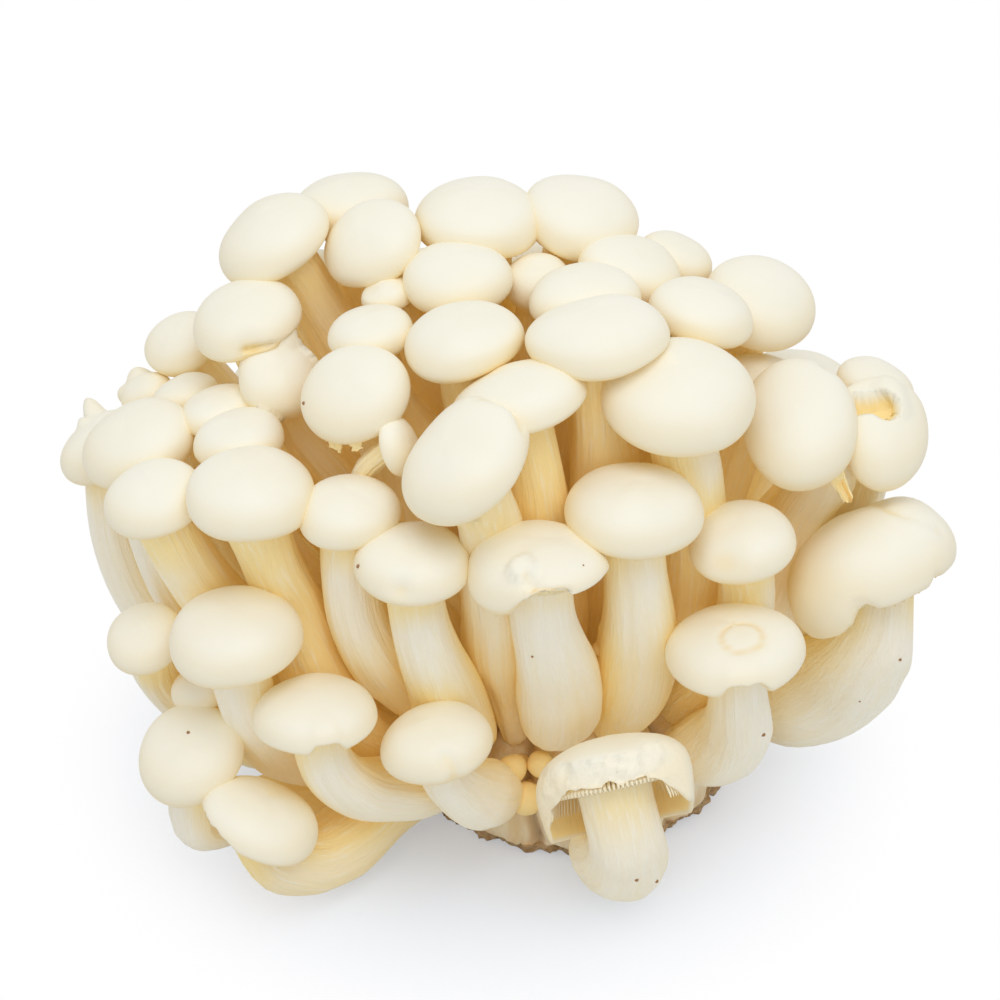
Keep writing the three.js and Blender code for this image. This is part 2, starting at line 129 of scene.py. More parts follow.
# How single mushrooms differ from that outline and from the frame. For the cap, outline names
# another one, dome and rim are its height and depth, deep stretches it from front to back, back
# and left lean it that way in degrees, size is a factor, and right, in and up move it in
# millimetres. For the stem, bow shifts its upper half to the right in millimetres, thick is a
# factor on its middle, and a bend is a height on it from 0 to 1, half its reach along the stem,
# and a move right, in and up in millimetres. The value for golden shade adds painted golden
# shade to the whole mushroom, or below 0 takes some away, and above 0 also lays the darker rim
# shade on its stem. Marks finish it: each names a method of Mushroom and gives its values.
FLAT = {"dome": 0.45, "rim": 0.24}
TALL = {"dome": 0.56, "rim": 0.42}
CAPS = {
    "crown_02": {"size": 1.10},
    "crown_03": {"back": -16, "right": -0.5},
    "crown_04": {"size": 1.04},
    "crown_05": {"back": -8},
    "crown_07": {"size": 0.86, "up": -0.8},
    "crown_08": {
        **TALL, "back": -16, "size": 1.12, "right": 0.5, "up": -0.9, "thick": 1.3,
        "bends": ((0.82, 0.25, -0.7, 0, 0),),
    },
    "crown_09": {**FLAT, "size": 1.05, "up": -0.7},
    "crown_10": {**FLAT, "size": 0.91, "right": 0.7, "up": -0.7},
    "crown_11": {**FLAT, "up": -1.0},
    "crown_12": {"back": 8, "up": -0.5},
    "crown_13": {"back": 8, "right": 0.6, "up": -1.0},
    "crown_14": {**FLAT, "deep": 0.92, "back": 8, "right": -0.5, "up": -0.8},
    "crown_15": {"back": 8},
    "crown_16": {"back": -12, "size": 1.04},
    "front_01": {
        "back": -8, "right": 0.6, "gold": -0.2,
        "marks": (
            ("dot", -174, 0.48, 0.28), ("scrap", -125, 1.0, 1.4, 2.2, 75),
            ("scrap", -95, 1.0, 1.4, 1.8, 75),
        ),
    },
    "front_02": {**FLAT, "deep": 0.92, "back": 18, "right": -0.6, "up": -0.4, "gold": 0.25},
    "front_03": {
        "back": 18, "size": 1.03, "right": -0.4, "up": 0.8, "gold": -0.2,
        "marks": (
            ("melt", "front_02", 8.0),
            ("crease", ((60, 0.48), (45, 0.52), (37, 0.57), (28, 0.61), (12, 0.66)), 1.5, 0.7),
        ),
    },
    "front_04": {"back": 12, "right": -0.8},
    "front_05": {"back": 16, "right": -1.3},
    "front_06": {
        **FLAT, "back": 16, "right": -0.5, "up": 1.4, "gold": -0.25,
        "marks": (
            ("droop", -142, 52, 2.2), ("droop", -58, 78, -2.6), ("push", -104, 0.40, 3.6, -0.7),
            ("nub", -111, 0.35, 3.1, 1.2), ("tear", -90, 30, 0.9, 0.8),
            ("crease", ((-104, 0.45), (-92, 0.62), (-70, 0.72)), 1.5, 0.9, 1.0),
            ("dot", -40, 0.43, 0.14), ("stem_dot", -115, 0.76, 0.2),
        ),
    },
    "front_07": {
        "back": 8, "right": 0.9, "up": 0.4,
        "marks": (("push", -102, 0.61, 2.8, -0.8), ("dot", -162, 0.57, 0.32)),
    },
    "front_08": {"back": 4, "right": 0.9, "gold": -0.15},
    "front_09": {
        "back": 12, "right": -0.7, "up": 0.6, "gold": -0.15,
        "marks": (("push", -110, 0.5, 4.5, -0.7),),
    },
    "front_10": {"left": -50, "size": 1.3, "gold": -0.3},
    "left_01": {
        "right": 0.6,
        "marks": (
            ("push", -84, 0.60, 4.6, -1.0),
            ("crease", ((-88, 0.64), (-63, 0.68), (-26, 0.87)), 0.9, 0.9, 0.8),
        ),
    },
    "left_02": {
        "outline": "bud", "rim": 0.26, "size": 1.14, "gold": -0.2,
        "right": -0.5, "marks": (("push", 88, 0.52, 2.7, 2.4), ("melt", "left_01", 3.0)),
    },
    "left_03": {"back": -16, "up": 1.6, "gold": -0.4},
    "left_04": {"back": 8, "right": 0.9, "up": -0.6},
    "left_05": {**FLAT, "back": 12, "size": 1.06, "right": 1.6, "up": -0.5},
    "left_06": {**FLAT, "back": 18, "size": 0.93, "up": -0.9, "gold": -0.4},
    "left_07": {"marks": (("push", 105, 0.55, 2.8, 1.8), ("push", 155, 0.60, 2.2, 1.0))},
    "left_08": {"right": 1.0, "gold": -0.15},
    "left_09": {"gold": -0.2, "marks": (("push", 98, 0.46, 2.2, 3.2), ("push", 118, 0.30, 1.8, 1.0))},
    "left_10": {"size": 0.94, "up": 0.9},
    "left_11": {"back": 8, "right": 1.0, "up": 0.7, "gold": 0.15},
    "skirt_01": {"back": 12, "right": 0.5, "up": 0.7, "gold": -0.35},
    "skirt_02": {"back": -16, "size": 0.87},
    "skirt_03": {**FLAT, "back": 18, "up": 1.0, "gold": -0.1, "marks": (("droop", -77, 20, -1.8),)},
    "skirt_04": {
        "gold": -0.25, "bends": ((0.8, 0.3, -2.0, -4.0, -3.5),),
        "back": -12, "size": 1.04, "right": 0.7, "up": 0.9,
        "marks": (("dot", 56, 0.13, 0.25),),
    },
    "skirt_05": {
        **FLAT, "back": 18, "size": 1.05, "up": 0.7, "gold": 0.35,
        "bends": ((0.2, 0.3, 0, 2.5, 2.0), (0.8, 0.2, 1.2, 0.5, 0.8)),
        "marks": (("tear", -150, 42, 1.8, 0.9),),
    },
    "skirt_06": {
        "back": 16, "up": 1.8, "gold": -0.1,
        "marks": (("crease", ((-74, 0.50), (-70, 0.62), (-72, 0.80)), 2.0, 0.7),),
    },
    "skirt_07": {
        **FLAT, "back": 18, "right": -0.6, "up": 0.8, "gold": -0.1,
        "marks": (
            ("scar", -70, 0.17, 2.9, 0.28), ("droop", -84, 26, -1.6), ("tear", -82, 22, 1.3, 0.8),
            ("stem_dot", -43, 0.64, 0.3),
        ),
    },
    "skirt_08": {
        "outline": "open", "dome": 0.52, "rim": 0.66, "left": 8,
        "right": -1.2, "up": 2.2, "gold": 0.1,
        "marks": (
            ("droop", -12, 36, -2.0), ("broken", -94, 88, 0.80, -0.02),
            ("stem_dot", -79, 0.72, 0.28), ("stem_dot", -39, 0.60, 0.3),
        ),
    },
    "right_01": {
        **TALL, "rim": 0.5, "deep": 1.3, "back": -14, "size": 0.90, "right": -1.4, "bow": 4.5,
        "gold": -0.2,
        "marks": (("push", 58, 0.57, 1.6, -0.9), ("scrap", -56, 0.97, 4.9, 2.2, 92)),
    },
    "right_02": {
        "dome": 0.72, "rim": 0.40, "deep": 1.35, "back": -16, "size": 0.96,
        "right": -0.8, "in": -3.5, "up": 4.0, "gold": -0.5,
        "marks": (
            ("ridge", ((157, 0.65), (130, 0.70), (112, 0.65), (99, 0.52), (93, 0.26), (90, 0.13)),
             2.6, 1.5),
            ("hollow", ((163, 0.48), (151, 0.30), (146, 0.17)), 2.8, 3.2),
        ),
    },
    "right_03": {
        "dome": 0.60, "rim": 0.36, "back": 44, "left": -20, "size": 1.02,
        "thick": 1.22, "bends": ((0.75, 0.35, 1.3, 0, 0),),
        "marks": (
            ("push", 40, 0.45, 7.0, 0.9),
            ("crease", ((95, 0.30), (43, 0.19), (-30, 0.35), (-17, 0.61)), 1.3, 0.55),
            ("droop", -152, 46, 1.5), ("droop", -66, 34, 0.5), ("tear", -106, 10, 1.1, 0.5),
            ("tear", -38, 9, 0.5, 0.2),
            ("stem_dot", -38, 0.80, 0.25), ("stem_dot", -72, 0.56, 0.16),
        ),
    },
    "right_05": {**FLAT, "size": 0.91, "up": 1.3},
}


# ---------------------------------------------------------------------------------------------
# Numbers


def smoothstep(low, high, value):
    """0 below the low value, 1 above the high one, and smooth between."""
    share = np.clip((value - low) / (high - low), 0.0, 1.0)
    return share * share * (3.0 - 2.0 * share)


def unit(vectors):
    """The vectors at length 1."""
    return vectors / np.maximum(np.linalg.norm(vectors, axis=-1, keepdims=True), 1e-12)


def spline_weights(stations, places):
    """Weights of evenly numbered stations that give a smooth line's value at each place."""
    weights = np.zeros((len(places), stations + 2))
    for row, place in enumerate(places):
        first = min(int(place), stations - 2)
        t = place - first
        weights[row, first:first + 4] = (
            (-t + 2 * t**2 - t**3) / 2,
            (2 - 5 * t**2 + 3 * t**3) / 2,
            (t + 4 * t**2 - 3 * t**3) / 2,
            (-t**2 + t**3) / 2,
        )
    inner = weights[:, 1:-1].copy()
    inner[:, 0] += 2 * weights[:, 0]
    inner[:, 1] -= weights[:, 0]
    inner[:, -1] += 2 * weights[:, -1]
    inner[:, -2] -= weights[:, -1]
    return inner


def wave_weights():
    """Weights that draw a ring's corners as a smooth outline of a few waves."""
    turn = np.arange(COLUMNS)[:, None] / COLUMNS - np.arange(SIDES)[None, :] / SIDES
    weights = np.ones_like(turn) / SIDES
    for wave, keep in enumerate(WAVES_KEPT, 1):
        weights += 2 * keep * np.cos(math.tau * wave * turn) / SIDES
    return weights


def short_name(node):
    """The name of the piece that stands for a mushroom of the frame."""
    return node.replace("_mushroom", "")


def angle_between(first, second):
    """From the second angle to the first, in degrees from -180 to 180."""
    return (first - second + 180) % 360 - 180


AROUND = wave_weights()
ALONG_STEM = spline_weights(NECK_RING + 1, np.linspace(0, NECK_RING, STEM_ROWS))


def curve(points, count):
    """Evenly numbered rows along a smooth line through the points."""
    weights = spline_weights(len(points), np.linspace(0, len(points) - 1, count))
    return weights @ np.array(points)


# ---------------------------------------------------------------------------------------------
# The frame's mushrooms, read as rings


def walk_rings(node):
    """A mushroom's foot, its rings of corners from the foot up, and its top, as arrays."""
    shape = bmesh.new()
    shape.from_mesh(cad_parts[node].data)
    bmesh.ops.remove_doubles(shape, verts=shape.verts, dist=1e-6)
    poles = [v for v in shape.verts if len(v.link_edges) == SIDES]
    foot, top = sorted(poles, key=lambda v: (v.co - BASE_CENTRE).length)
    rings, seen, layer = [], {foot}, [foot]
    while True:
        layer = {e.other_vert(v) for v in layer for e in v.link_edges} - seen
        if layer == {top}:
            break
        seen |= layer
        ring = [min(layer, key=lambda v: v.index)]
        while len(ring) < SIDES:
            beside = {e.other_vert(ring[-1]) for e in ring[-1].link_edges} & layer
            ring.append(min(beside - set(ring), key=lambda v: v.index))
        rings.append(np.array([v.co for v in ring]))
    foot_place, top_place = np.array(foot.co), np.array(top.co)
    shape.free()
    rings[0] = facing_out(rings[0], foot_place - rings[1].mean(0))
    for lower, ring in enumerate(rings[1:]):
        rings[lower + 1] = in_step(rings[lower], ring)
    return foot_place, np.array(rings), top_place


def facing_out(ring, outward):
    """The ring numbered so that it runs clockwise seen from outside its foot."""
    centre = ring.mean(0)
    turn = np.cross(ring[0] - centre, ring[3] - centre)
    return ring if turn @ outward < 0 else ring[::-1]


def in_step(below, ring):
    """The ring numbered so that each corner lies above the same corner of the ring below."""
    target = unit(below - below.mean(0))
    orders = [np.roll(way, shift, 0) for way in (ring, ring[::-1]) for shift in range(SIDES)]
    return min(orders, key=lambda order: np.sum((unit(order - order.mean(0)) - target) ** 2))


def crowding_tree():
    """All the frame's solids in one tree, to see what stands close around a point."""
    corners, faces = [], []
    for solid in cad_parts.values():
        start = len(corners)
        corners += [v.co.copy() for v in solid.data.vertices]
        faces += [[start + i for i in face.vertices] for face in solid.data.polygons]
    return BVHTree.FromPolygons(corners, faces)


CROWD = crowding_tree()
SKY_RAYS = 24
SKY_REACH = 30 * MM
SKY_START = 0.4 * MM
GOLDEN_ANGLE = math.pi * (3 - math.sqrt(5))


def hidden_share(places, normals):
    """How much of the view outward from each place is closed by its neighbours, 0 to 1."""
    shares = np.zeros(places.shape[:-1])
    for index in np.ndindex(shares.shape):
        normal = Vector(normals[index])
        turn = normal.to_track_quat("Z", "Y")
        start = Vector(places[index]) + normal * SKY_START
        closed = 0.0
        for ray in range(SKY_RAYS):
            across = math.sqrt((ray + 0.5) / SKY_RAYS)
            around = ray * GOLDEN_ANGLE
            way = Vector((across * math.cos(around), across * math.sin(around),
                          math.sqrt(1 - across * across)))
            distance = CROWD.ray_cast(start, turn @ way, SKY_REACH)[3]
            if distance is not None:
                closed += 1 - 0.5 * distance / SKY_REACH
        shares[index] = closed / SKY_RAYS
    return shares


# ---------------------------------------------------------------------------------------------
# The lathe that every mushroom starts as

# What is already grown: each piece's surface, the brown specks and the torn sheets that hang on.
GROWN = {}
SPECKS = []
SCRAPS = []

# Points along the line of a crease, a pocket or a ridge.
LINE_POINTS = 24

# Lathes are made once for each number of rows and columns, and copied after that.
LATHES = {}


def mesh_from(name, shape, **masks):
    """A mesh from a bmesh, with masks that are the same all over it."""
    mesh = bpy.data.meshes.new(name)
    shape.to_mesh(mesh)
    shape.free()
    for key, value in masks.items():
        mask = mesh.attributes.new(key, "FLOAT", "POINT")
        mask.data.foreach_set("value", np.full(len(mesh.vertices), value))
    return mesh


def plain_lathe(rows, columns):
    """A closed lathe, with the row and the column of each of its vertices."""
    if (rows, columns) in LATHES:
        return LATHES[rows, columns]
    shape = bmesh.new()
    profile = [shape.verts.new((float(0 < row < rows - 1), 0, row)) for row in range(rows)]
    edges = [shape.edges.new(pair) for pair in zip(profile, profile[1:])]
    bmesh.ops.spin(shape, geom=profile + edges, axis=(0, 0, 1), cent=(0, 0, 0),
                   angle=math.tau, steps=columns, use_merge=True)
    bmesh.ops.remove_doubles(shape, verts=shape.verts, dist=1e-3)
    bmesh.ops.recalc_face_normals(shape, faces=shape.faces)
    mesh = mesh_from("lathe", shape)
    mesh.shade_smooth()
    places = np.array([v.co for v in mesh.vertices])
    row = np.rint(places[:, 2]).astype(int)
    turn = np.arctan2(places[:, 1], places[:, 0]) / math.tau
    LATHES[rows, columns] = mesh, row, np.rint(turn * columns).astype(int) % columns
    return LATHES[rows, columns]


def grid_normals(place):
    """Outward unit normals of a grid of rows and columns."""
    up = np.gradient(place, axis=0)
    beside = np.roll(place, -1, 1) - np.roll(place, 1, 1)
    normals = unit(np.cross(beside, up))
    middle = place[STEM_ROWS // 2].mean(0)
    if np.sum(normals[STEM_ROWS // 2] * (place[STEM_ROWS // 2] - middle)) < 0:
        normals = -normals
    normals[0], normals[-1] = unit(normals[1].mean(0)), unit(normals[-2].mean(0))
    return normals


def finished(name, grid, masks, *nodes, slot=FLESH_SLOT, material=None):
    """A piece from a grid of places and its masks, which stands for the nodes."""
    lathe, row, column = plain_lathe(*grid.shape[:2])
    mesh = lathe.copy()
    mesh.name = name
    mesh.vertices.foreach_set("co", grid[row, column].astype(np.float32).ravel())
    for key, values in masks.items():
        flat = values[row, column].astype(np.float32)
        kind = "FLOAT_VECTOR" if flat.ndim == 2 else "FLOAT"
        attribute = mesh.attributes.new(key, kind, "POINT")
        attribute.data.foreach_set("vector" if flat.ndim == 2 else "value", flat.ravel())
    turned = bmesh.new()
    turned.from_mesh(mesh)
    bmesh.ops.recalc_face_normals(turned, faces=turned.faces)
    turned.to_mesh(mesh)
    turned.free()
    return declared(name, mesh, *nodes, slot=slot, material=material or flesh_material())


def declared(name, mesh, *nodes, slot=FLESH_SLOT, material=None):
    """The mesh as a piece of the bunch."""
    mesh.materials.clear()
    mesh.materials.append(material or flesh_material())
    mesh.update()
    piece = bpy.data.objects.new(name, mesh)
    bpy.context.scene.collection.objects.link(piece)
    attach(piece, BODY)
    if nodes:
        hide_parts(*nodes)
    return piece


def turned_grid(outline, centre, axis):
    """A grid of revolution: its outline runs from pole to pole as distances from the axis and
    heights along it, in millimetres."""
    rows = curve(outline, ROWS) * MM
    rows[[0, -1], 0] = 0
    turn = np.arange(COLUMNS) / COLUMNS * math.tau
    axis = unit(np.array(axis, float))
    side = unit(np.cross(axis, (0.3, 0.5, 0.8)))
    spokes = np.cos(turn)[:, None] * side + np.sin(turn)[:, None] * np.cross(axis, side)
    rise = rows[:, 1][:, None, None] * axis
    return np.array(centre) + rise + np.maximum(rows[:, 0], 0)[:, None, None] * spokes


def even_masks(grid, **values):
    """Masks that are the same all over a grid, or the same all along a row."""
    grain = grid - grid.mean((0, 1))
    wide = np.ones(grid.shape[:2])
    return {"grain": grain, **{key: wide * np.reshape(value, (-1, 1))
                               for key, value in values.items()}}


def lumps(places, size):
    """Uneven numbers from -1 to 1, in lumps of this size in millimetres."""
    values = [noise.noise(Vector(place)) for place in places.reshape(-1, 3) / (size * MM)]
    return np.array(values).reshape(places.shape[:-1])


# ---------------------------------------------------------------------------------------------
# A mushroom


class Mushroom:
    """One mushroom's surface as a grid of rows and columns, and the masks its finish reads."""

    def __init__(self, node, shape):
        self.node = node
        self.random = np.random.default_rng(sum(map(ord, node)) * 7919)
        self.foot, self.rings, self.top = walk_rings(node)
        self.measure_cap()
        self.fine_stem()
        self.hold(shape)
        self.fine_cap()
        self.lay_grid(shape)
        self.mark(shape.get("gold", 0))

    def measure_cap(self):
        """The cap's middle, axis, radius and cross directions, from its flat widest ring."""
        widest = self.rings[WIDEST_RING]
        flat = widest - widest.mean(0)
        self.axis = np.linalg.svd(flat)[2][2]
        rise = (self.top - widest.mean(0)) @ self.axis
        if rise < 0:
            self.axis, rise = -self.axis, -rise
        self.size = rise / (TOP_HEIGHT - CAP_RINGS[WIDEST_RING - NECK_RING - 1][1])
        self.middle = self.top - self.axis * TOP_HEIGHT * self.size
        first, second = widest[0] - self.middle, widest[SIDES // 4] - self.middle
        self.side = unit(first - self.axis * (first @ self.axis))
        self.cross = np.cross(self.axis, self.side)
        if second @ self.cross < 0:
            self.cross = -self.cross
        self.cad_middle, self.cad_axis, self.cad_size = self.middle, self.axis, self.size

    def fine_stem(self):
        """The stem's rows, smooth along it and around it."""
        corners = self.rings[:NECK_RING + 1]
        self.stem = np.einsum("rk,kjx,cj->rcx", ALONG_STEM, corners, AROUND)

    def hold(self, shape):
        """Leans and shifts the cap as it really sits, and bends the upper stem after it."""
        shift = np.array([shape.get(key, 0) for key in ("right", "in", "up")]) * MM
        back = Matrix.Rotation(math.radians(-shape.get("back", 0)), 3, "X")
        left = Matrix.Rotation(math.radians(-shape.get("left", 0)), 3, "Y")
        turn = np.array(left @ back)
        held = (self.stem - self.middle) @ turn.T + self.middle + shift
        share = smoothstep(0.35, 1.0, np.linspace(0, 1, STEM_ROWS))[:, None, None]
        self.stem += (held - self.stem) * share
        height = np.linspace(0, 1, STEM_ROWS)
        bow = smoothstep(0.2, 0.75, height) * (1 - 0.4 * smoothstep(0.85, 1, height))
        self.stem[..., 0] += bow[:, None] * shape.get("bow", 0) * MM
        middles = self.stem.mean(1, keepdims=True)
        thick = 1 + (shape.get("thick", 1) - 1) * np.sin(math.pi * height)[:, None, None]
        self.stem = middles + (self.stem - middles) * thick
        for at, half, *way in shape.get("bends", ()):
            near = smoothstep(0, 1, 1 - np.abs(height - at) / half)
            self.stem += near[:, None, None] * np.array(way) * MM
        self.axis, self.side, self.cross = (turn @ v for v in (self.axis, self.side, self.cross))
        self.middle = self.middle + shift
        self.size *= shape.get("size", 1.0)

    def fine_cap(self):
        """The cap's outline, pressed in where the frame's own cap is pressed in."""
        ratios = []
        for ring, (out, high) in zip(self.rings[NECK_RING + 1:], CAP_RINGS):
            centre = self.cad_middle + self.cad_axis * high * self.cad_size
            ratio = np.linalg.norm(ring - centre, axis=1) / (out * self.cad_size)
            ratios.append(np.minimum(ratio, 1.0))
        ratios = 1 - (1 - np.array([*ratios, np.ones(SIDES)])) * CAP_PRESSED
        self.press = ratios @ AROUND.T

    def lay_grid(self, shape):
        """Lays the rows of the foot, the stem and the cap on one grid."""
        turn = np.arange(COLUMNS) / COLUMNS * math.tau
        spokes = np.cos(turn)[:, None] * self.side + np.sin(turn)[:, None] * self.cross
        backward = unit(np.array((0, 1, 0)) - self.axis * self.axis[1])
        spokes = spokes + (spokes @ backward)[:, None] * backward * (shape.get("deep", 1.0) - 1)
        neck = self.stem[-1]
        neck_middle = neck.mean(0)
        neck_reach = np.linalg.norm(neck - neck_middle, axis=1).mean() / self.size

        self.kind = shape.get("outline", "cap")
        self.open = self.kind == "open"
        gills, skin = OUTLINES[self.kind]
        start = (min(neck_reach * 1.03, 0.6), gills[0][1])
        inner = [start, (0.5 * (start[0] + gills[0][0]), gills[0][1]), *gills]
        under = curve([*inner, skin[0]], GILL_ROWS + 1)[:-1]
        over = curve(skin, CAP_ROWS)
        outline = np.vstack([under, over])
        high = outline[:, 1] - WAIST
        dome = (shape.get("dome", DOME) - WAIST) / (TOP_HEIGHT - WAIST)
        rim = (WAIST + shape.get("rim", RIM)) / (WAIST - skin[0][1])
        outline[:, 1] = WAIST + high * np.where(high > 0, dome, rim)
        ring_high = np.array([r[1] for r in CAP_RINGS] + [TOP_HEIGHT])
        press = np.array([
            np.interp(outline[:, 1], ring_high, column) for column in self.press.T
        ]).T
        press[:GILL_ROWS] = self.press[0]
        self.outline = outline
        reach = outline[:, 0][:, None] * press * self.size
        rise = outline[:, 1] * self.size
        cap = self.middle + rise[:, None, None] * self.axis + reach[..., None] * spokes

        # The first rows under the cap go over from the stem's own outline to the cap's.
        share = smoothstep(0, 0.55, np.arange(GILL_ROWS) / GILL_ROWS)[:, None, None]
        scale = (outline[:GILL_ROWS, 0] / neck_reach)[:, None, None]
        lift = (outline[:GILL_ROWS, 1] - NECK_HEIGHT)[:, None, None] * self.size
        stemlike = neck_middle + (neck - neck_middle) * np.minimum(scale, 1.6) + lift * self.axis
        cap[:GILL_ROWS] = stemlike * (1 - share) + cap[:GILL_ROWS] * share

        # The foot closes in a rounded end that sinks into the base.
        root = self.stem[0]
        root_middle = root.mean(0)
        down = unit(root_middle - self.stem[3].mean(0))
        depth = np.linalg.norm(root - root_middle, axis=1).mean()
        angles = (np.pi / 2) * (1 - np.arange(FOOT_ROWS + 1) / (FOOT_ROWS + 1))[:, None, None]
        foot = root_middle + (root - root_middle) * np.cos(angles)
        foot = foot + down * depth * np.sin(angles)
        self.place = np.vstack([foot, self.stem, cap])
        self.turn = turn
        self.headings = np.degrees(np.arctan2(spokes[:, 1], spokes[:, 0]))
        self.gill_start = FOOT_ROWS + 1 + STEM_ROWS
        self.cap_start = self.gill_start + GILL_ROWS

    def mark(self, gold):
        """The masks: grain runs straight along the stem, and cap is 1 on the skin of the cap."""
        rows = self.place.shape[0]
        middles = self.place.mean(1)
        steps = np.linalg.norm(np.diff(middles[:self.gill_start], axis=0), axis=1)
        along = np.concatenate([[0], np.cumsum(steps)])
        along = np.concatenate([along, np.full(rows - len(along), along[-1])])
        reach = np.linalg.norm(self.place - middles[:, None], axis=2)
        lean = self.random.uniform(0, 50) * MM
        grain = np.zeros(self.place.shape)
        grain[..., 0] = reach * np.cos(self.turn)
        grain[..., 1] = reach * np.sin(self.turn)
        grain[..., 2] = along[:, None] + lean
        row = np.arange(rows)
        cap = smoothstep(self.cap_start - 3, self.cap_start + 1, row)
        gill = smoothstep(self.gill_start, self.gill_start + 3, row) * (1 - cap)
        up = np.clip((row - FOOT_ROWS) / STEM_ROWS, 0, 1)
        wide = np.ones(COLUMNS)
        crevice = self.crevice()
        self.masks = {
            "grain": grain,
            "cap": cap[:, None] * wide,
            "gill": gill[:, None] * wide,
            "up": up[:, None] * wide,
            # The masks paint light and shade: golden shade where the flesh lies deep or faces the
            # ground, a faint glow where it is closed in, and the darker rim tint on a cap's sides and
            # underside.
            "crevice": (crevice + self.underside() + gold) * (1 - 0.55 * cap[:, None])
            - 0.1 * cap[:, None],
            "shade": crevice,
            "under": self.sideways_shade() * cap[:, None] + max(gold, 0) * (1 - cap[:, None]),
            "torn": np.zeros(grain.shape[:2]),
        }

    def sideways_shade(self):
        """Painted shade on a cap's sides and underside: from 0 where the flesh faces up, over 0.4 on
        the sides, to 1 where it faces the ground.
        """
        up = grid_normals(self.place)[..., 2]
        return 1 - 0.4 * smoothstep(0.4, 0.95, up) - 0.6 * smoothstep(-0.9, 0.1, up)

    def underside(self):
        """A little painted golden shade where the flesh faces the ground."""
        return 0.12 * (1 - smoothstep(-0.7, 0.35, grid_normals(self.place)[..., 2]))

    def crevice(self):
        """How deep each place sits between its neighbours, which sets the painted golden shade and
        the painted glow there.
        """
        coarse = self.rings
        up = np.gradient(coarse, axis=0)
        beside = np.roll(coarse, -1, 1) - np.roll(coarse, 1, 1)
        normals = unit(np.cross(beside, up))
        outward = coarse - coarse.mean(1, keepdims=True)
        normals *= np.sign(np.sum(normals * outward, axis=(1, 2)))[:, None, None]
        shares = hidden_share(coarse, normals)
        top = hidden_share(self.top[None], self.axis[None])[0]
        fine = np.vstack([shares @ AROUND.T, np.full(COLUMNS, top)])
        stem_part = np.linspace(0, NECK_RING, STEM_ROWS)
        ring_at = [0] * (FOOT_ROWS + 1) + list(stem_part)
        ring_at += list(np.linspace(NECK_RING, NECK_RING + 1.2, GILL_ROWS, endpoint=False))
        heights = [r[1] for r in CAP_RINGS] + [TOP_HEIGHT]
        above = NECK_RING + 1 + np.arange(len(heights))
        cap_at = np.interp(self.outline[GILL_ROWS:, 1], heights, above)
        if self.open:
            cap_at = np.maximum(cap_at, WIDEST_RING)
        ring_at += list(cap_at)
        numbers = np.arange(len(fine))
        closed = np.array([np.interp(ring_at, numbers, column) for column in fine.T]).T
        # Under an open cap the hollow among the plates is painted fully shaded.
        if self.open:
            row = np.arange(ROWS)
            gills = smoothstep(2, 4, row - self.gill_start) * (row < self.cap_start)
            closed += gills[:, None]
        return closed

    def roughen(self):
        """Slow waves over the cap and faint furrows down the stem."""
        normals = grid_normals(self.place)
        rows = self.place.shape[0]
        row = np.arange(rows)[:, None]
        swell = np.zeros((rows, COLUMNS))
        for wave, strength in SWELL_WAVES:
            phase, drift = self.random.uniform(0, math.tau), self.random.uniform(-0.25, 0.25)
            swell += strength * np.cos(wave * self.turn + phase + drift * row)
        fade = np.sin(np.clip((rows - 1 - row) / 10, 0, 1) * math.pi / 2)
        stem = 1 - smoothstep(self.gill_start - 2, self.gill_start, row)
        swell *= self.size * fade
        furrows = np.zeros((rows, COLUMNS))
        for wave in FURROWS:
            phase, drift = self.random.uniform(0, math.tau), self.random.uniform(-0.12, 0.12)
            furrows += np.cos(wave * self.turn + phase + drift * row) / wave
        depth = bpy.context.scene.shimeji_sizes.furrow
        self.place += normals * (swell + furrows * stem * depth)[..., None]

    def ripple_gills(self):
        """Thin plates hang under a closed cap, one to every second column."""
        plates = np.where(np.arange(COLUMNS) % 2, 0.0, -1.0)
        for row in range(self.gill_start + 2, self.cap_start - 1):
            share = (row - self.gill_start) / GILL_ROWS
            depth = 0.06 * self.size * math.sin(math.pi * share) ** 0.5
            self.place[row] += self.axis * (plates * depth)[:, None]

    def hang_gills(self):
        """Free plates hang under an open cap, shorter where the edge is broken away."""
        shape = bmesh.new()
        plates = bpy.context.scene.shimeji_sizes.plates
        for turn in np.arange(plates) / plates * math.tau:
            before = len(shape.verts), len(shape.edges)
            bmesh.ops.create_cube(shape, size=1.0)
            lengthwise = [edge for edge in list(shape.edges)[before[1]:]
                          if edge.verts[0].co.x * edge.verts[1].co.x < 0]
            bmesh.ops.subdivide_edges(shape, edges=lengthwise, cuts=PLATE_STEPS - 1)
            for vertex in list(shape.verts)[before[0]:]:
                vertex.co = self.plate_place(turn, *vertex.co)
        shape.normal_update()
        bmesh.ops.recalc_face_normals(shape, faces=shape.faces)
        # The plates are painted with a little golden shade.
        declared("open_gills", mesh_from("open_gills", shape, gill=1.0, crevice=0.35))

    def plate_place(self, turn, along, side, high):
        """Where a corner of a unit block goes, for the plate at this turn around the stem."""
        spoke = math.cos(turn) * self.side + math.sin(turn) * self.cross
        beside = np.cross(self.axis, spoke)
        heading = math.degrees(math.atan2(spoke[1], spoke[0]))
        broken = abs(angle_between(heading, BROKEN_HEADING)) < BROKEN_HALF
        step = along + 0.5
        inner = self.outline[0, 0] * 0.85
        out = inner + ((BROKEN_PLATES_OUT if broken else PLATES_OUT) - inner) * step
        rise = np.interp(out, *self.outline[:GILL_ROWS].T) + 0.04
        if high < 0:
            rise -= PLATE_DROP + PLATE_BELLY * math.sin(math.pi * min(step + 0.12, 1.0)) ** 0.6
        thick = math.copysign(PLATE_EDGE if high < 0 else PLATE_ROOT, side)
        return self.middle + (spoke * out + self.axis * rise + beside * thick) * self.size

